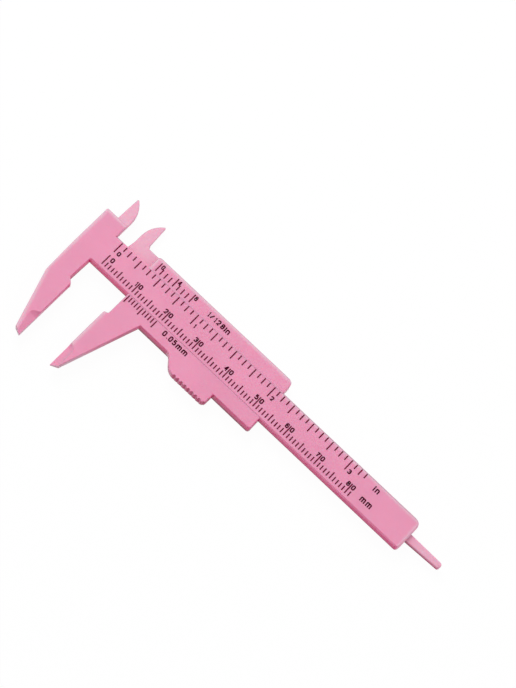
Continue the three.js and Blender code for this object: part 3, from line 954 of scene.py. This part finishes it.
def thumb_rest():
    """The ribbed thumb rest, with a ramp on the left and a rounded corner on the right."""
    left = READING + PAD_START
    right = left + PAD_LENGTH
    bottom = -SLIDER_DROP - PAD_DROP
    line = outline([
        (left - PAD_RAMP_ROUND, -SLIDER_DROP / 2),
        (left - PAD_RAMP_ROUND, -SLIDER_DROP),
        (left, -SLIDER_DROP, PAD_RAMP_ROUND),
        (left + PAD_RAMP, bottom, PAD_TOE_ROUND),
        (right, bottom, PAD_CORNER),
        (right, -SLIDER_DROP / 2),
    ])
    reach = RIB_GROOVE_RADIUS
    grooves = []
    for rib in range(RIB_COUNT):
        x = left + RIB_TO_PAD_START + rib * RIB_PITCH
        grooves.append(rib_groove((x, bottom - reach), (0, 1), RIB_FRONT_DEPTH, RIB_BACK_DEPTH))
    corner = PAD_CORNER * RIB_CORNER_SHARE
    diagonal = math.sqrt(0.5)
    grooves.append(rib_groove(
        (right - corner + reach * diagonal, bottom + corner - reach * diagonal),
        (-diagonal, diagonal), RIB_CORNER_DEPTH, RIB_BACK_DEPTH,
    ))
    grooves.append(rib_groove(
        (right + reach, bottom + PAD_CORNER + reach), (-1, 0), RIB_CORNER_DEPTH, RIB_SIDE_BACK_DEPTH,
    ))
    back = form_mm("edge_round") * BACK_ROUND_SHARE
    return carved(moulded_plate(line, BEAM_BACK, THICKNESS, back=back), gathered(grooves))


def rib_groove(middle, inwards, front_depth, back_depth):
    """A round cutter that stands beside a wall and leans into it, deeper at the front than at the back."""
    turns = np.arange(RIB_GROOVE_STEPS) * 2 * math.pi / RIB_GROOVE_STEPS
    ring = np.column_stack([np.cos(turns), np.sin(turns)]) * RIB_GROOVE_RADIUS + middle
    lean = (front_depth - back_depth) / (THICKNESS - BEAM_BACK)
    rings = []
    for height in (BEAM_BACK - OVERRUN / 2, THICKNESS + OVERRUN / 2):
        depth = back_depth + lean * (height - BEAM_BACK)
        rings.append(at_height(ring + np.array(inwards) * depth, height))
    return stacked(rings)


def moving_blade():
    """The moving inside jaw, and the low arm that joins it to the upper lip and the back plate."""
    edge_x = READING - BLADE_EDGE_TO_ZERO
    back_x = edge_x - MOVING_BLADE_WIDTH
    joint = READING + LIP_START_ROUND
    foot = BEAM_WIDTH + SLIDE_GAP
    top = BEAM_WIDTH + ARM_RISE
    line = blade_line(edge_x, -1, foot, MOVING_BLADE_WIDTH, MOVING_BLADE_SPREAD, MOVING_BLADE_LEAN)
    back = face_bevel(line, edge_x, MOVING_BLADE_LEAN, MOVING_BLADE_BACK_BEVEL, form_mm("edge_round"))
    blade = moulded_plate(line, 0, MOVING_BLADE_FRONT, back=back)
    arm = outline([
        (back_x, foot),
        (joint, foot),
        (joint, top),
        (edge_x, top, BLADE_ROOT_ROUND),
        (edge_x, top + BLADE_ROOT_ROUND),
        (back_x, top + BLADE_ROOT_ROUND),
    ])
    plate = block((back_x, PLATE_ARM_START, 0), (joint, top - OVERRUN, BACK_PLATE))
    return joined(blade, moulded_plate(arm, 0, MOVING_BLADE_FRONT), plate)


def peg_block(gap, low, high):
    """The peg that joins the rod's foot to the slider, or with a gap the hole that it stands in."""
    middle = READING + FOOT_TO_VERNIER + FOOT_LENGTH / 2
    reach = PEG_LENGTH / 2 + gap
    side = PEG_WIDTH / 2 + gap
    return block((middle - reach, ROD_MIDDLE - side, low), (middle + reach, ROD_MIDDLE + side, high))


def slider_mesh():
    line = moving_jaw_line()
    face_x = READING - FACE_TO_ZERO
    sides = np.where(line[:, 0] > face_x + MOVING_JAW_ROOT / 2, JAW_SIDE_BACK_ROUND, form_mm("edge_round"))
    sides = np.where(line[:, 1] < -RELIEF_REACH - OVERRUN, JAW_TIP_BACK_ROUND, sides)
    back = face_bevel(line, face_x, 0, JAW_BACK_BEVEL, sides)
    jaw = moulded_plate(line, BEAM_BACK, THICKNESS, back=back)
    body = joined(slider_body(), jaw, thumb_rest(), moving_blade())
    return carved(
        body,
        peg_block(PEG_GAP, -OVERRUN, PEG_HOLE_DEPTH),
        knife_cutters(face_x, -1, MOVING_KNIFE_WIDTHS, MOVING_KNIFE_STEP),
        mark_grooves(mm_vernier_marks() + inch_vernier_marks()),
    )


def rod_mesh():
    start = READING + FOOT_TO_VERNIER
    tip = BEAM_END + READING
    upper = ROD_MIDDLE + ROD_WIDTH / 2
    lower = ROD_MIDDLE - ROD_WIDTH / 2
    line = outline([
        (start, lower),
        (tip - ROD_TAPER_LENGTH, lower),
        (tip, upper - ROD_TIP_DROP - ROD_TIP_WIDTH, ROD_TIP_ROUND),
        (tip, upper - ROD_TIP_DROP, ROD_TIP_UPPER_ROUND),
        (tip - ROD_TAPER_LENGTH, upper),
        (start, upper),
    ])
    foot = outline([
        (start, ROD_MIDDLE - FOOT_WIDTH / 2),
        (start + FOOT_LENGTH, ROD_MIDDLE - FOOT_WIDTH / 2),
        (start + FOOT_LENGTH, ROD_MIDDLE + FOOT_WIDTH / 2),
        (start, ROD_MIDDLE + FOOT_WIDTH / 2),
    ])
    front = np.where(line[:, 1] < ROD_MIDDLE, ROD_LOWER_ROUND, form_mm("edge_round"))
    return joined(
        moulded_plate(line, ROD_BACK, ROD_FRONT, front=front),
        moulded_plate(foot, BACK_PLATE, ROD_FRONT),
        peg_block(0, 0, BACK_PLATE + OVERRUN),
    )


# Graduations and lettering

def scale_marks(count, start, span, divisions, lengths, root, side):
    """Each mark as its place along X and its two ends in Y. side is 1 where the marks point up."""
    marks = []
    for mark in range(count):
        length = next(length for every, length in lengths if mark % every == 0)
        low, high = sorted((root, root + side * length))
        marks.append((start + mark * span / divisions, low, high))
    return marks


def mm_marks():
    return scale_marks(MM_MARKS, 0, 1, 1, MM_LENGTHS, MM_FOOT, 1)


def inch_marks():
    return scale_marks(INCH_MARKS, 0, INCH, INCH_DIVISIONS, INCH_LENGTHS, INCH_HEAD, -1)


def vernier_marks(divisions, span, lengths, root, side):
    return scale_marks(divisions + 1, READING, span, divisions, lengths, root, side)


def mm_vernier_marks():
    return vernier_marks(VERNIER_MM_DIVISIONS, VERNIER_MM_SPAN, VERNIER_MM_LENGTHS, VERNIER_MM_HEAD, -1)


def inch_vernier_marks():
    return vernier_marks(
        VERNIER_INCH_DIVISIONS, VERNIER_INCH_SPAN, VERNIER_INCH_LENGTHS, VERNIER_INCH_FOOT, 1,
    )


def mark_blocks(marks, width, high, shorter=0.0):
    """Blocks from the grooves' floor up, one for each mark."""
    half = width / 2
    floor = THICKNESS - TICK_DEPTH
    return [block((x - half, y0 + shorter, floor), (x + half, y1 - shorter, high)) for x, y0, y1 in marks]


def mark_grooves(marks):
    return gathered(mark_blocks(marks, TICK_WIDTH, THICKNESS + OVERRUN))


def mark_ink(marks):
    """The ink that fills the grooves of these marks, just under the surface."""
    return mark_blocks(marks, TICK_WIDTH - 2 * INK_SLACK, THICKNESS - form_mm("ink_sink"), INK_SLACK)


def stroke_line(corners, closed):
    """The corners of one stroke as points without repeats."""
    points = rounded(corners, closed, STROKE_STEPS, 0.5)
    kept = [p for i, p in enumerate(points) if i == 0 or np.linalg.norm(p - points[i - 1]) > STROKE_REPEAT]
    if closed and np.linalg.norm(kept[0] - kept[-1]) < STROKE_REPEAT:
        kept.pop()
    return np.array(kept)


def ribbon(points, width, closed, low, high):
    """A flat stroke of even width along the points, from one height to another."""
    count = len(points)
    into = points - np.roll(points, 1, 0)
    out = np.roll(points, -1, 0) - points
    if not closed:
        into[0] = out[0]
        out[-1] = into[-1]
    side = mitres(into, out, STROKE_MITRE) * width / 2
    left, right = points + side, points - side
    rings = [at_height(left, low), at_height(right, low), at_height(right, high), at_height(left, high)]
    faces = []
    for i in range(count if closed else count - 1):
        j = (i + 1) % count
        for k in range(4):
            m = (k + 1) % 4
            faces.append([k * count + i, m * count + i, m * count + j, k * count + j])
    if not closed:
        faces.append([k * count for k in range(4)])
        faces.append([k * count + count - 1 for k in (3, 2, 1, 0)])
    return tidied(new_mesh(np.concatenate(rings), faces))


def letter(character, left, right, foot, height, stroke):
    """One printed character, with its ink between left and right and from its foot up."""
    film = form_mm("ink_film")
    width = max(right - left - stroke, 0)
    tall = height - stroke
    meshes = []
    for closed, corners in LETTER_STROKE_SHARES[character]:
        placed = []
        for x, y, reach in corners:
            placed.append((left + stroke / 2 + x * width, foot + stroke / 2 + y * tall, reach * width))
        if not closed:
            placed = squared_ends(placed, stroke, character)
        line = stroke_line(placed, closed)
        meshes.append(ribbon(line, stroke, closed, THICKNESS - film, THICKNESS + film))
    return meshes


def squared_ends(corners, stroke, character):
    """The stroke with upright ends on the foot line carried down to it, as its ink is."""
    ends = list(corners)
    low = min(y for _, y, _ in corners)
    for first, second in ((0, 1), (-1, -2)):
        x, y, reach = ends[first]
        upright = abs(ends[second][0] - x) < IN_LINE
        if upright and abs(y - low) < IN_LINE and character in FOOT_LINE_LETTERS:
            ends[first] = (x, y - stroke / 2, reach)
    return ends


def word(places, foot, height, stroke):
    """The meshes of several characters, each placed by the left and right of its ink."""
    meshes = []
    for character, left, right in places:
        meshes += letter(character, left, right, foot, height, stroke)
    return meshes


def mm_digits():
    places = [("0", *ZERO_PLACE)]
    for tens, digit in enumerate(TENS_DIGITS, start=1):
        x = 10.0 * tens
        left, right = TENS_FIRST
        if digit == "1":
            left = right - ONE_WIDTH
        places.append((digit, x + left, x + right))
        places.append(("0", x + TENS_ZERO[0], x + TENS_ZERO[1]))
    return word(places, MM_DIGIT_FOOT, MM_DIGIT_HEIGHT, form_mm("letter_stroke"))


def inch_digits():
    places = []
    for inch, digit in enumerate(INCH_DIGITS):
        left, right = INCH_PLACE
        if digit == "1":
            left += ONE_SHIFT
            right = left + ONE_WIDTH
        places.append((digit, inch * INCH + left, inch * INCH + right))
    stroke = form_mm("letter_stroke") * INCH_DIGIT_STROKE_SHARE
    return word(places, INCH_DIGIT_FOOT, INCH_DIGIT_HEIGHT, stroke)


def vernier_digits():
    places = []
    for mark, (digit, left, right) in VERNIER_DIGITS.items():
        x = READING + mark * VERNIER_INCH_SPAN / VERNIER_INCH_DIVISIONS
        places.append((digit, x + left, x + right))
    return word(places, VERNIER_DIGIT_FOOT, VERNIER_DIGIT_HEIGHT, form_mm("vernier_stroke"))


# Materials

def put(tree, kind, links=None, **values):
    """A new shader node. links gives its inputs a plain value or another node's socket, and keywords set
    its properties."""
    made = tree.nodes.new(kind)
    for name, value in values.items():
        setattr(made, name, value)
    for socket, source in (links or {}).items():
        if isinstance(source, bpy.types.NodeSocket):
            tree.links.new(source, made.inputs[socket])
        else:
            made.inputs[socket].default_value = source
    return made


def ramp(source, reach, levels=(0.0, 1.0)):
    """A value that runs smoothly between two levels while the source goes along its reach."""
    made = put(source.id_data, "ShaderNodeMapRange", {
        0: source, 1: reach[0], 2: reach[1], 3: levels[0], 4: levels[1],
    }, interpolation_type="SMOOTHSTEP")
    return made.outputs[0]


def reckoned(operation, a, b=0.0):
    """A sum of a node's value and another value, in the first one's node tree."""
    return put(a.id_data, "ShaderNodeMath", {0: a, 1: b}, operation=operation).outputs[0]


def times(a, b):
    return reckoned("MULTIPLY", a, b)


def plus(a, b):
    return reckoned("ADD", a, b)


def larger(a, b):
    return reckoned("MAXIMUM", a, b)


def mixed(factor, a, b):
    return put(factor.id_data, "ShaderNodeMix", {0: factor, 6: a, 7: b}, data_type="RGBA").outputs[2]


def uneven(place, seed, look):
    inputs = {"Vector": place, "W": seed, **look}
    return put(place.id_data, "ShaderNodeTexNoise", inputs, noise_dimensions="4D").outputs[0]


def colour(values):
    return (*values, 1.0)


def new_material(name):
    made = bpy.data.materials.new(name)
    made.use_nodes = True
    made.node_tree.nodes.clear()
    return made, made.node_tree


def object_place(tree):
    """The place on the object in millimetres, and the way that the surface faces there."""
    point = put(tree, "ShaderNodeTexCoord").outputs
    in_mm = put(tree, "ShaderNodeVectorMath", {0: point["Object"], "Scale": 1 / MM}, operation="SCALE")
    return in_mm.outputs[0], point["Normal"]


def along_way(vector, way):
    """How far a vector goes along a way: for the surface's own direction, how far it turns to that side."""
    made = put(vector.id_data, "ShaderNodeVectorMath", {0: vector, 1: way}, operation="DOT_PRODUCT")
    return made.outputs["Value"]


def painted_edge_light_band(place, x, z, edges):
    """Painted light along these edges of the front face: 1 along them and 0 further in.

    Each edge is two corners of the outline, anticlockwise, and where it starts along X."""
    band = 0.0
    for first, second, start in edges:
        along = (Vector(second) - Vector(first)).normalized()
        outwards = (along.y, -along.x, 0)
        edge = Vector(outwards).dot(Vector((*first, 0)) + TO_PART)
        out = along_way(place, outwards)
        share = ramp(out, (edge - EDGE_LIGHT_WIDTH, edge - EDGE_LIGHT_INNER))
        begun = ramp(x, (start + TO_PART.x, start + TO_PART.x + EDGE_LIGHT_FADE))
        band = larger(times(share, begun), band)
    return times(band, ramp(z, FACE_HEIGHT))


def face_shade(place, seed):
    """The colour of the broad faces, a little cloudy."""
    plain = np.array(bpy.context.scene.caliper_plastic.face_colour)
    low, high = (colour(np.minimum(plain * shade, 1)) for shade in CLOUD_SHADES)
    return mixed(ramp(uneven(place, seed, CLOUDS), NOISE_MIDDLE), low, high)


def moulded_surface(tree, place, seed):
    """Roughness and bump of the moulded surface: a fine grain with a few long scratches."""
    usual = bpy.context.scene.caliper_plastic.roughness
    grain = uneven(place, seed + GRAIN_SEED, GRAIN)
    drawn_out = put(tree, "ShaderNodeMapping", {
        "Vector": place, "Rotation": SCRATCH_TURN, "Scale": SCRATCH_STRETCH,
    }).outputs[0]
    scratch = ramp(uneven(drawn_out, seed + SCRATCH_SEED, SCRATCHES), SCRATCH_CUT)
    plain = ramp(grain, NOISE_MIDDLE, (usual - ROUGHNESS_LESS, usual + ROUGHNESS_MORE))
    rough = plus(plain, times(scratch, SCRATCH_ROUGHNESS))
    height = plus(times(grain, GRAIN_RELIEF), times(scratch, SCRATCH_RELIEF))
    bump = put(tree, "ShaderNodeBump", {**MOULDED_BUMP, "Height": height})
    return rough, bump.outputs[0]


def painted_wall_shade_share(y, facing, wall, lit):
    """How much painted shade deepens the walls' colour: some on all walls, most on those that face away from
    the key lamp. lit is 1 on the blades and the beam's end, where light gets in, and the painted shade there
    is weaker.
    """
    deep = times(ramp(along_way(facing, PAINTED_SHADE_SIDE), PAINTED_SHADE_TURN), ramp(wall, (0, 1), (PLAIN_WALL_SHARE, 1)))
    deep = larger(deep, times(wall, PLAIN_WALL_SHARE))
    deep = times(deep, ramp(lit, (0, 1), (1, END_WALL_SHARE)))
    return times(deep, ramp(y, JAW_WALL_UP, (JAW_WALL_SHARE, 1)))


def painted_rim_light_share(x, z, facing, blades, seam):
    """How much painted light pales the rounded rims that face the key lamp, at the front and all down the
    blades.

    With a seam, the upper rim is hidden in the slider's way for part of its length, and gets no painted light
    there."""
    pale = times(ramp(along_way(facing, PAINTED_LIGHT_SIDE), PAINTED_LIGHT_TURN), larger(ramp(z, RIM_HEIGHT), blades))
    if seam:
        pale = times(pale, larger(ramp(x, HIDDEN_RIM_LEFT), ramp(x, HIDDEN_RIM_RIGHT)))
    return pale


def painted_wall_light_and_shade(x, y, z, thin, ribs):
    """The colour of the walls, with painted shade that is darkest at their back edge near the floor, and
    painted bounce light round the head's inner corner.
    """
    settings = bpy.context.scene.caliper_plastic
    # Painted shade: the walls grow darker towards their back edge, where they come near the floor
    depth = ramp(z, FOOT_SHADE_HEIGHT)
    # Darkest painted shade on the walls round the thumb rest
    if ribs:
        depth = times(depth, ramp(y, RIBS_UP, (RIB_SHADE_SHARE, 1)))
    # Painted shadow of the beam's end: the rod's walls take the darkest painted shade near it
    if thin:
        depth = times(depth, ramp(x, ROD_WALL_SHADOW_REACH, (0, ROD_WALL_SHADOW_SHARE)))
    # Painted bounce light on the walls between the jaws
    corner = times(ramp(x, BOUNCE_LIGHT_ACROSS), ramp(y, BOUNCE_LIGHT_UP))
    shade = mixed(corner, colour(settings.painted_wall_shade_colour), colour(settings.painted_bounce_light_colour))
    return mixed(depth, colour(settings.painted_foot_shade_colour), shade)


def plastic_shade(tree, place, facing, seed, edges, thin, seam, ribs):
    """The colour of the plastic all over a piece, with its painted light and shade, from its place on the
    object and the way it faces.
    """
    settings = bpy.context.scene.caliper_plastic
    painted_through_light_colour = colour(settings.painted_through_light_colour)
    painted_rim_light_colour = colour(settings.painted_rim_light_colour)
    x, y, z = put(tree, "ShaderNodeSeparateXYZ", {0: place}).outputs
    upright = reckoned("ABSOLUTE", along_way(facing, (0, 0, 1)))
    blades = ramp(y, BLADES_UP)
    # Painted glint on the beam's end, which also takes less painted shade
    beam_end_glint = times(ramp(along_way(facing, (1, 0, 0)), END_TURN), ramp(x, BEAM_END_REACH))
    # Painted light shining through the thin blades below the head's front
    through_light_share = times(blades, ramp(z, BLADE_HEIGHT))
    # On the rod, less painted light near the beam's end: a painted shadow of the beam
    if thin:
        through_light_share = ramp(x, ROD_SHADOW_REACH, (ROD_SHADOW_LIGHT_SHARE, 1))

    face = mixed(through_light_share, face_shade(place, seed), painted_through_light_colour)
    # A band of painted light beside the listed edges of the front face
    if edges:
        face = mixed(painted_edge_light_band(place, x, z, edges), face, colour(settings.painted_edge_light_colour))
    # Painted shade on the walls, deepest on those that face away from the key lamp
    deep = painted_wall_shade_share(y, facing, ramp(upright, WALL_TURN), plus(blades, beam_end_glint))
    shade = mixed(deep, face, painted_wall_light_and_shade(x, y, z, thin, ribs))
    # Painted light on the rims that face the key lamp
    shade = mixed(painted_rim_light_share(x, z, facing, blades, seam), shade, painted_rim_light_colour)
    # Painted glint on the beam's end
    shade = mixed(times(beam_end_glint, END_GLINT_SHARE), shade, painted_through_light_colour)
    # Painted light on the walls at the jaws' tips, in the pale rim colour
    tip_rim_light = times(ramp(y, JAW_RIM_UP), ramp(upright, TIP_TURN, (0, TIP_RIM_LIGHT_SHARE)))
    return mixed(tip_rim_light, shade, painted_rim_light_colour)


def plastic(name, seed, edges=(), thin=False, seam=False, ribs=False):
    """Smooth translucent moulded plastic, with painted shade that deepens its walls and painted light that
    pales it where it is thin.

    A band of painted light runs along the edges. thin is for the rod, which is thin all over, most so at its
    tip, and takes a painted shadow near the beam's end.
    seam is for the beam, whose upper rim is hidden in the slider's way for part of its length.
    ribs is for the slider, whose walls take their darkest painted shade round the thumb rest."""
    made, tree = new_material(name)
    place, facing = object_place(tree)
    rough, bump = moulded_surface(tree, place, seed)
    shader = put(tree, "ShaderNodeBsdfPrincipled", {
        **TRANSLUCENT,
        "Base Color": plastic_shade(tree, place, facing, seed, edges, thin, seam, ribs),
        "Roughness": rough,
        "Normal": bump,
        "Subsurface Scale": bpy.context.scene.caliper_plastic.glow_depth,
    })
    put(tree, "ShaderNodeOutputMaterial", {0: shader.outputs[0]})
    return made


def ink(name, shade):
    """Thin dark printing ink, a little uneven, with worn spots."""
    made, tree = new_material(name)
    place, _ = object_place(tree)
    patches = put(tree, "ShaderNodeTexNoise", {"Vector": place, **INK_PATCHES}).outputs[0]
    dark = np.array(shade)
    worn = dark * INK_WORN_SHADE + INK_WORN_LIFT
    bump = put(tree, "ShaderNodeBump", {**INK_BUMP, "Height": patches})
    shader = put(tree, "ShaderNodeBsdfPrincipled", {
        **INK_GLOSS,
        "Base Color": mixed(ramp(patches, INK_WORN_CUT), colour(dark), colour(worn)),
        "Roughness": ramp(patches, NOISE_MIDDLE, INK_ROUGHNESS),
        "Normal": bump.outputs[0],
    })
    put(tree, "ShaderNodeOutputMaterial", {0: shader.outputs[0]})
    return made


def scale_inks(place):
    """The thin ink of the marks and the thick ink of the numbers and words."""
    colours = bpy.context.scene.caliper_plastic
    thin = ink(place + "_mark_ink", colours.mark_colour)
    return thin, ink(place + "_letter_ink", colours.letter_colour)


def seen_white(tree):
    """1 for rays from the camera, also by way of gloss or glass, and 0 for others."""
    rays = put(tree, "ShaderNodeLightPath").outputs
    return larger(larger(rays["Is Camera Ray"], rays["Is Glossy Ray"]), rays["Is Transmission Ray"])


def floor_finish():
    """A matt floor that the camera sees as white paper with a faint shadow."""
    settings = bpy.context.scene.caliper_studio
    made, tree = new_material("pale_floor")
    matt = put(tree, "ShaderNodeBsdfDiffuse", {"Color": colour(settings.floor_colour)})
    paper = put(tree, "ShaderNodeBsdfDiffuse", {"Color": PAPER})
    white = put(tree, "ShaderNodeEmission", {"Color": WHITE, "Strength": 1.0})
    bright = put(tree, "ShaderNodeMixShader", {
        0: PAPER_LIGHT_SHARE, 1: paper.outputs[0], 2: white.outputs[0],
    })
    both = put(tree, "ShaderNodeMixShader", {0: seen_white(tree), 1: matt.outputs[0], 2: bright.outputs[0]})
    put(tree, "ShaderNodeOutputMaterial", {0: both.outputs[0]})
    return made


def light_world():
    """An even light from all round, which the camera sees as white."""
    settings = bpy.context.scene.caliper_studio
    world = bpy.data.worlds.new("studio_light")
    world.use_nodes = True
    tree = world.node_tree
    tree.nodes.clear()
    even = put(tree, "ShaderNodeBackground", {"Color": WHITE, "Strength": settings.sky_level})
    white = put(tree, "ShaderNodeBackground", {"Color": WHITE, "Strength": 1.0})
    both = put(tree, "ShaderNodeMixShader", {0: seen_white(tree), 1: even.outputs[0], 2: white.outputs[0]})
    put(tree, "ShaderNodeOutputWorld", {0: both.outputs[0]})
    bpy.context.scene.world = world


def stand(name, data, place, turn):
    """Puts a lamp or camera at a place, turned as the quaternion says."""
    made = new_object(name, data)
    made.location = place
    made.rotation_mode = "QUATERNION"
    made.rotation_quaternion = turn
    return made


def soft_lamp(name, place, size, power):
    """A large square lamp that shines at the caliper."""
    lamp = bpy.data.lights.new(name, "AREA")
    lamp.shape = "SQUARE"
    lamp.size = size
    lamp.energy = power
    stand(name, lamp, place, (-Vector(place)).to_track_quat("-Z", "Y"))


def set_camera(lens):
    camera = bpy.data.cameras.new("camera")
    camera.lens = lens
    camera.sensor_width = CAMERA_SENSOR_MM
    camera.clip_start, camera.clip_end = CAMERA_CLIP
    bpy.context.scene.camera = stand("camera", camera, CAMERA_PLACE, Quaternion(CAMERA_TURN))


# Operators

class CALIPER_OT_make_beam(Operator):
    """Make the beam with its head and fixed jaws"""

    bl_idname = "caliper.make_beam"
    bl_label = "Make Beam"

    def execute(self, context):
        top = BEAM_WIDTH + HEAD_RISE
        jaw_tip = (-FACE_TO_ZERO - FIXED_TIP_WIDTH, -JAW_POINT + JAW_TIP_SLANT)
        # The listed edges take a band of painted light
        pink = plastic("beam_pink", seed=1.0, seam=True, edges=[
            ((-BLADE_EDGE_TO_ZERO, top), (-HEAD_LEFT, top), -HEAD_LEFT - OVERRUN),
            ((-HEAD_LEFT, top), (-HEAD_LEFT, 0), -HEAD_LEFT - OVERRUN),
            ((-HEAD_LEFT_LOW, -HEAD_TAPER_START), jaw_tip, -HEAD_LEFT - OVERRUN),
            ((BEAM_END, 0), (BEAM_END, BEAM_WIDTH), 0),
            ((BEAM_END, BEAM_WIDTH), (0, BEAM_WIDTH), SLIDER_END - OVERRUN / 2),
        ])
        set_piece("caliper_beam", beam_mesh(), "fixed", pink, "main_beam")
        return {"FINISHED"}


class CALIPER_OT_make_slider(Operator):
    """Make the slider with its moving jaws and thumb rest"""

    bl_idname = "caliper.make_slider"
    bl_label = "Make Slider"

    def execute(self, context):
        top = BEAM_WIDTH + LIP_RISE
        face_x = READING - FACE_TO_ZERO
        # The listed edges take a band of painted light
        pink = plastic("slider_pink", seed=5.0, ribs=True, edges=[
            ((SLIDER_END, top), (SLIDER_START, top), 0),
            ((face_x, 0), (face_x, -JAW_POINT), 0),
        ])
        set_piece("caliper_slider", slider_mesh(), "slider", pink, "slider")
        return {"FINISHED"}


class CALIPER_OT_make_rod(Operator):
    """Make the depth rod with its foot"""

    bl_idname = "caliper.make_rod"
    bl_label = "Make Depth Rod"

    def execute(self, context):
        # The rod takes painted light through its thin plastic and a painted shadow near the beam's end
        pink = plastic("rod_pink", seed=9.0, thin=True)
        set_piece("caliper_depth_rod", rod_mesh(), "slider", pink, "depth_rod")
        return {"FINISHED"}


class CALIPER_OT_make_main_marks(Operator):
    """Ink the beam's millimetre and inch scales"""

    bl_idname = "caliper.make_main_marks"
    bl_label = "Ink Main Scales"

    def execute(self, context):
        thin, thick = scale_inks("main")
        stroke = form_mm("letter_stroke")
        for name, meshes, finish in (
            ("mm_scale_marks", mark_ink(mm_marks()), thin),
            ("inch_scale_marks", mark_ink(inch_marks()), thin),
            ("mm_scale_numbers", mm_digits(), thick),
            ("inch_scale_numbers", inch_digits(), thick),
            ("mm_unit_letters", word(UNIT_MM, UNIT_MM_FOOT, UNIT_MM_HEIGHT, stroke), thick),
            ("inch_unit_letters", word(UNIT_IN, UNIT_IN_FOOT, UNIT_IN_HEIGHT, stroke), thick),
        ):
            set_piece(name, gathered(meshes), "fixed", finish)
        return {"FINISHED"}


class CALIPER_OT_make_vernier_marks(Operator):
    """Ink the slider's vernier scales"""

    bl_idname = "caliper.make_vernier_marks"
    bl_label = "Ink Vernier Scales"

    def execute(self, context):
        thin, thick = scale_inks("vernier")
        stroke = form_mm("letter_stroke")
        mm_word = word(FINENESS_MM, FINENESS_MM_FOOT, FINENESS_MM_HEIGHT, stroke)
        inch_word = word(FINENESS_INCH, FINENESS_INCH_FOOT, FINENESS_INCH_HEIGHT, stroke)
        for name, meshes, finish in (
            ("mm_vernier_marks", mark_ink(mm_vernier_marks()), thin),
            ("inch_vernier_marks", mark_ink(inch_vernier_marks()), thin),
            ("inch_vernier_numbers", vernier_digits(), thick),
            ("mm_fineness_letters", mm_word, thick),
            ("inch_fineness_letters", inch_word, thick),
        ):
            set_piece(name, gathered(meshes), "slider", finish)
        return {"FINISHED"}


class CALIPER_OT_make_studio(Operator):
    """Set up the pale floor, the soft lamps and the camera"""

    bl_idname = "caliper.make_studio"
    bl_label = "Set Up Studio"

    def execute(self, context):
        settings = context.scene.caliper_studio
        reach = FLOOR_REACH
        corners = [(-reach, -reach, 0), (reach, -reach, 0), (reach, reach, 0), (-reach, reach, 0)]
        sheet = bpy.data.meshes.new("pale_floor")
        sheet.from_pydata(corners, [], [(0, 1, 2, 3)])
        sheet.materials.append(floor_finish())
        floor = new_object("pale_floor", sheet)
        floor.location.z = -FLOOR_DROP
        light_world()
        soft_lamp("key_lamp", KEY_LAMP_PLACE, KEY_LAMP_SIZE, settings.key_power)
        soft_lamp("fill_lamp", FILL_LAMP_PLACE, FILL_LAMP_SIZE, settings.fill_power)
        set_camera(settings.camera_lens)
        context.scene.view_settings.view_transform = "Standard"
        return {"FINISHED"}


class CALIPER_PT_panel(Panel):
    """The caliper's settings and steps"""

    bl_idname = "CALIPER_PT_panel"
    bl_label = "Plastic Vernier Caliper"
    bl_space_type = "VIEW_3D"
    bl_region_type = "UI"
    bl_category = "Caliper"

    def draw(self, context):
        layout = self.layout
        for group in SETTINGS:
            box = layout.box()
            box.label(text=group.removeprefix("caliper_").title())
            settings = getattr(context.scene, group)
            for name in settings.bl_rna.properties.keys():
                if name not in ("rna_type", "name"):
                    box.prop(settings, name)
        for step in STEPS:
            layout.operator(step.bl_idname)


SETTINGS = {
    "caliper_form": CaliperFormSettings,
    "caliper_plastic": CaliperPlasticSettings,
    "caliper_studio": CaliperStudioSettings,
}
STEPS = (
    CALIPER_OT_make_beam,
    CALIPER_OT_make_slider,
    CALIPER_OT_make_rod,
    CALIPER_OT_make_main_marks,
    CALIPER_OT_make_vernier_marks,
    CALIPER_OT_make_studio,
)


def register():
    for group in SETTINGS.values():
        bpy.utils.register_class(group)
    for name, group in SETTINGS.items():
        setattr(bpy.types.Scene, name, PointerProperty(type=group))
    for step in (*STEPS, CALIPER_PT_panel):
        bpy.utils.register_class(step)


def unregister():
    for step in reversed((*STEPS, CALIPER_PT_panel)):
        bpy.utils.unregister_class(step)
    for name, group in SETTINGS.items():
        delattr(bpy.types.Scene, name)
        bpy.utils.unregister_class(group)


def main():
    register()
    bpy.ops.caliper.make_beam()
    bpy.ops.caliper.make_slider()
    bpy.ops.caliper.make_rod()
    bpy.ops.caliper.make_main_marks()
    bpy.ops.caliper.make_vernier_marks()
    bpy.ops.caliper.make_studio()


if __name__ == "__main__":
    main()
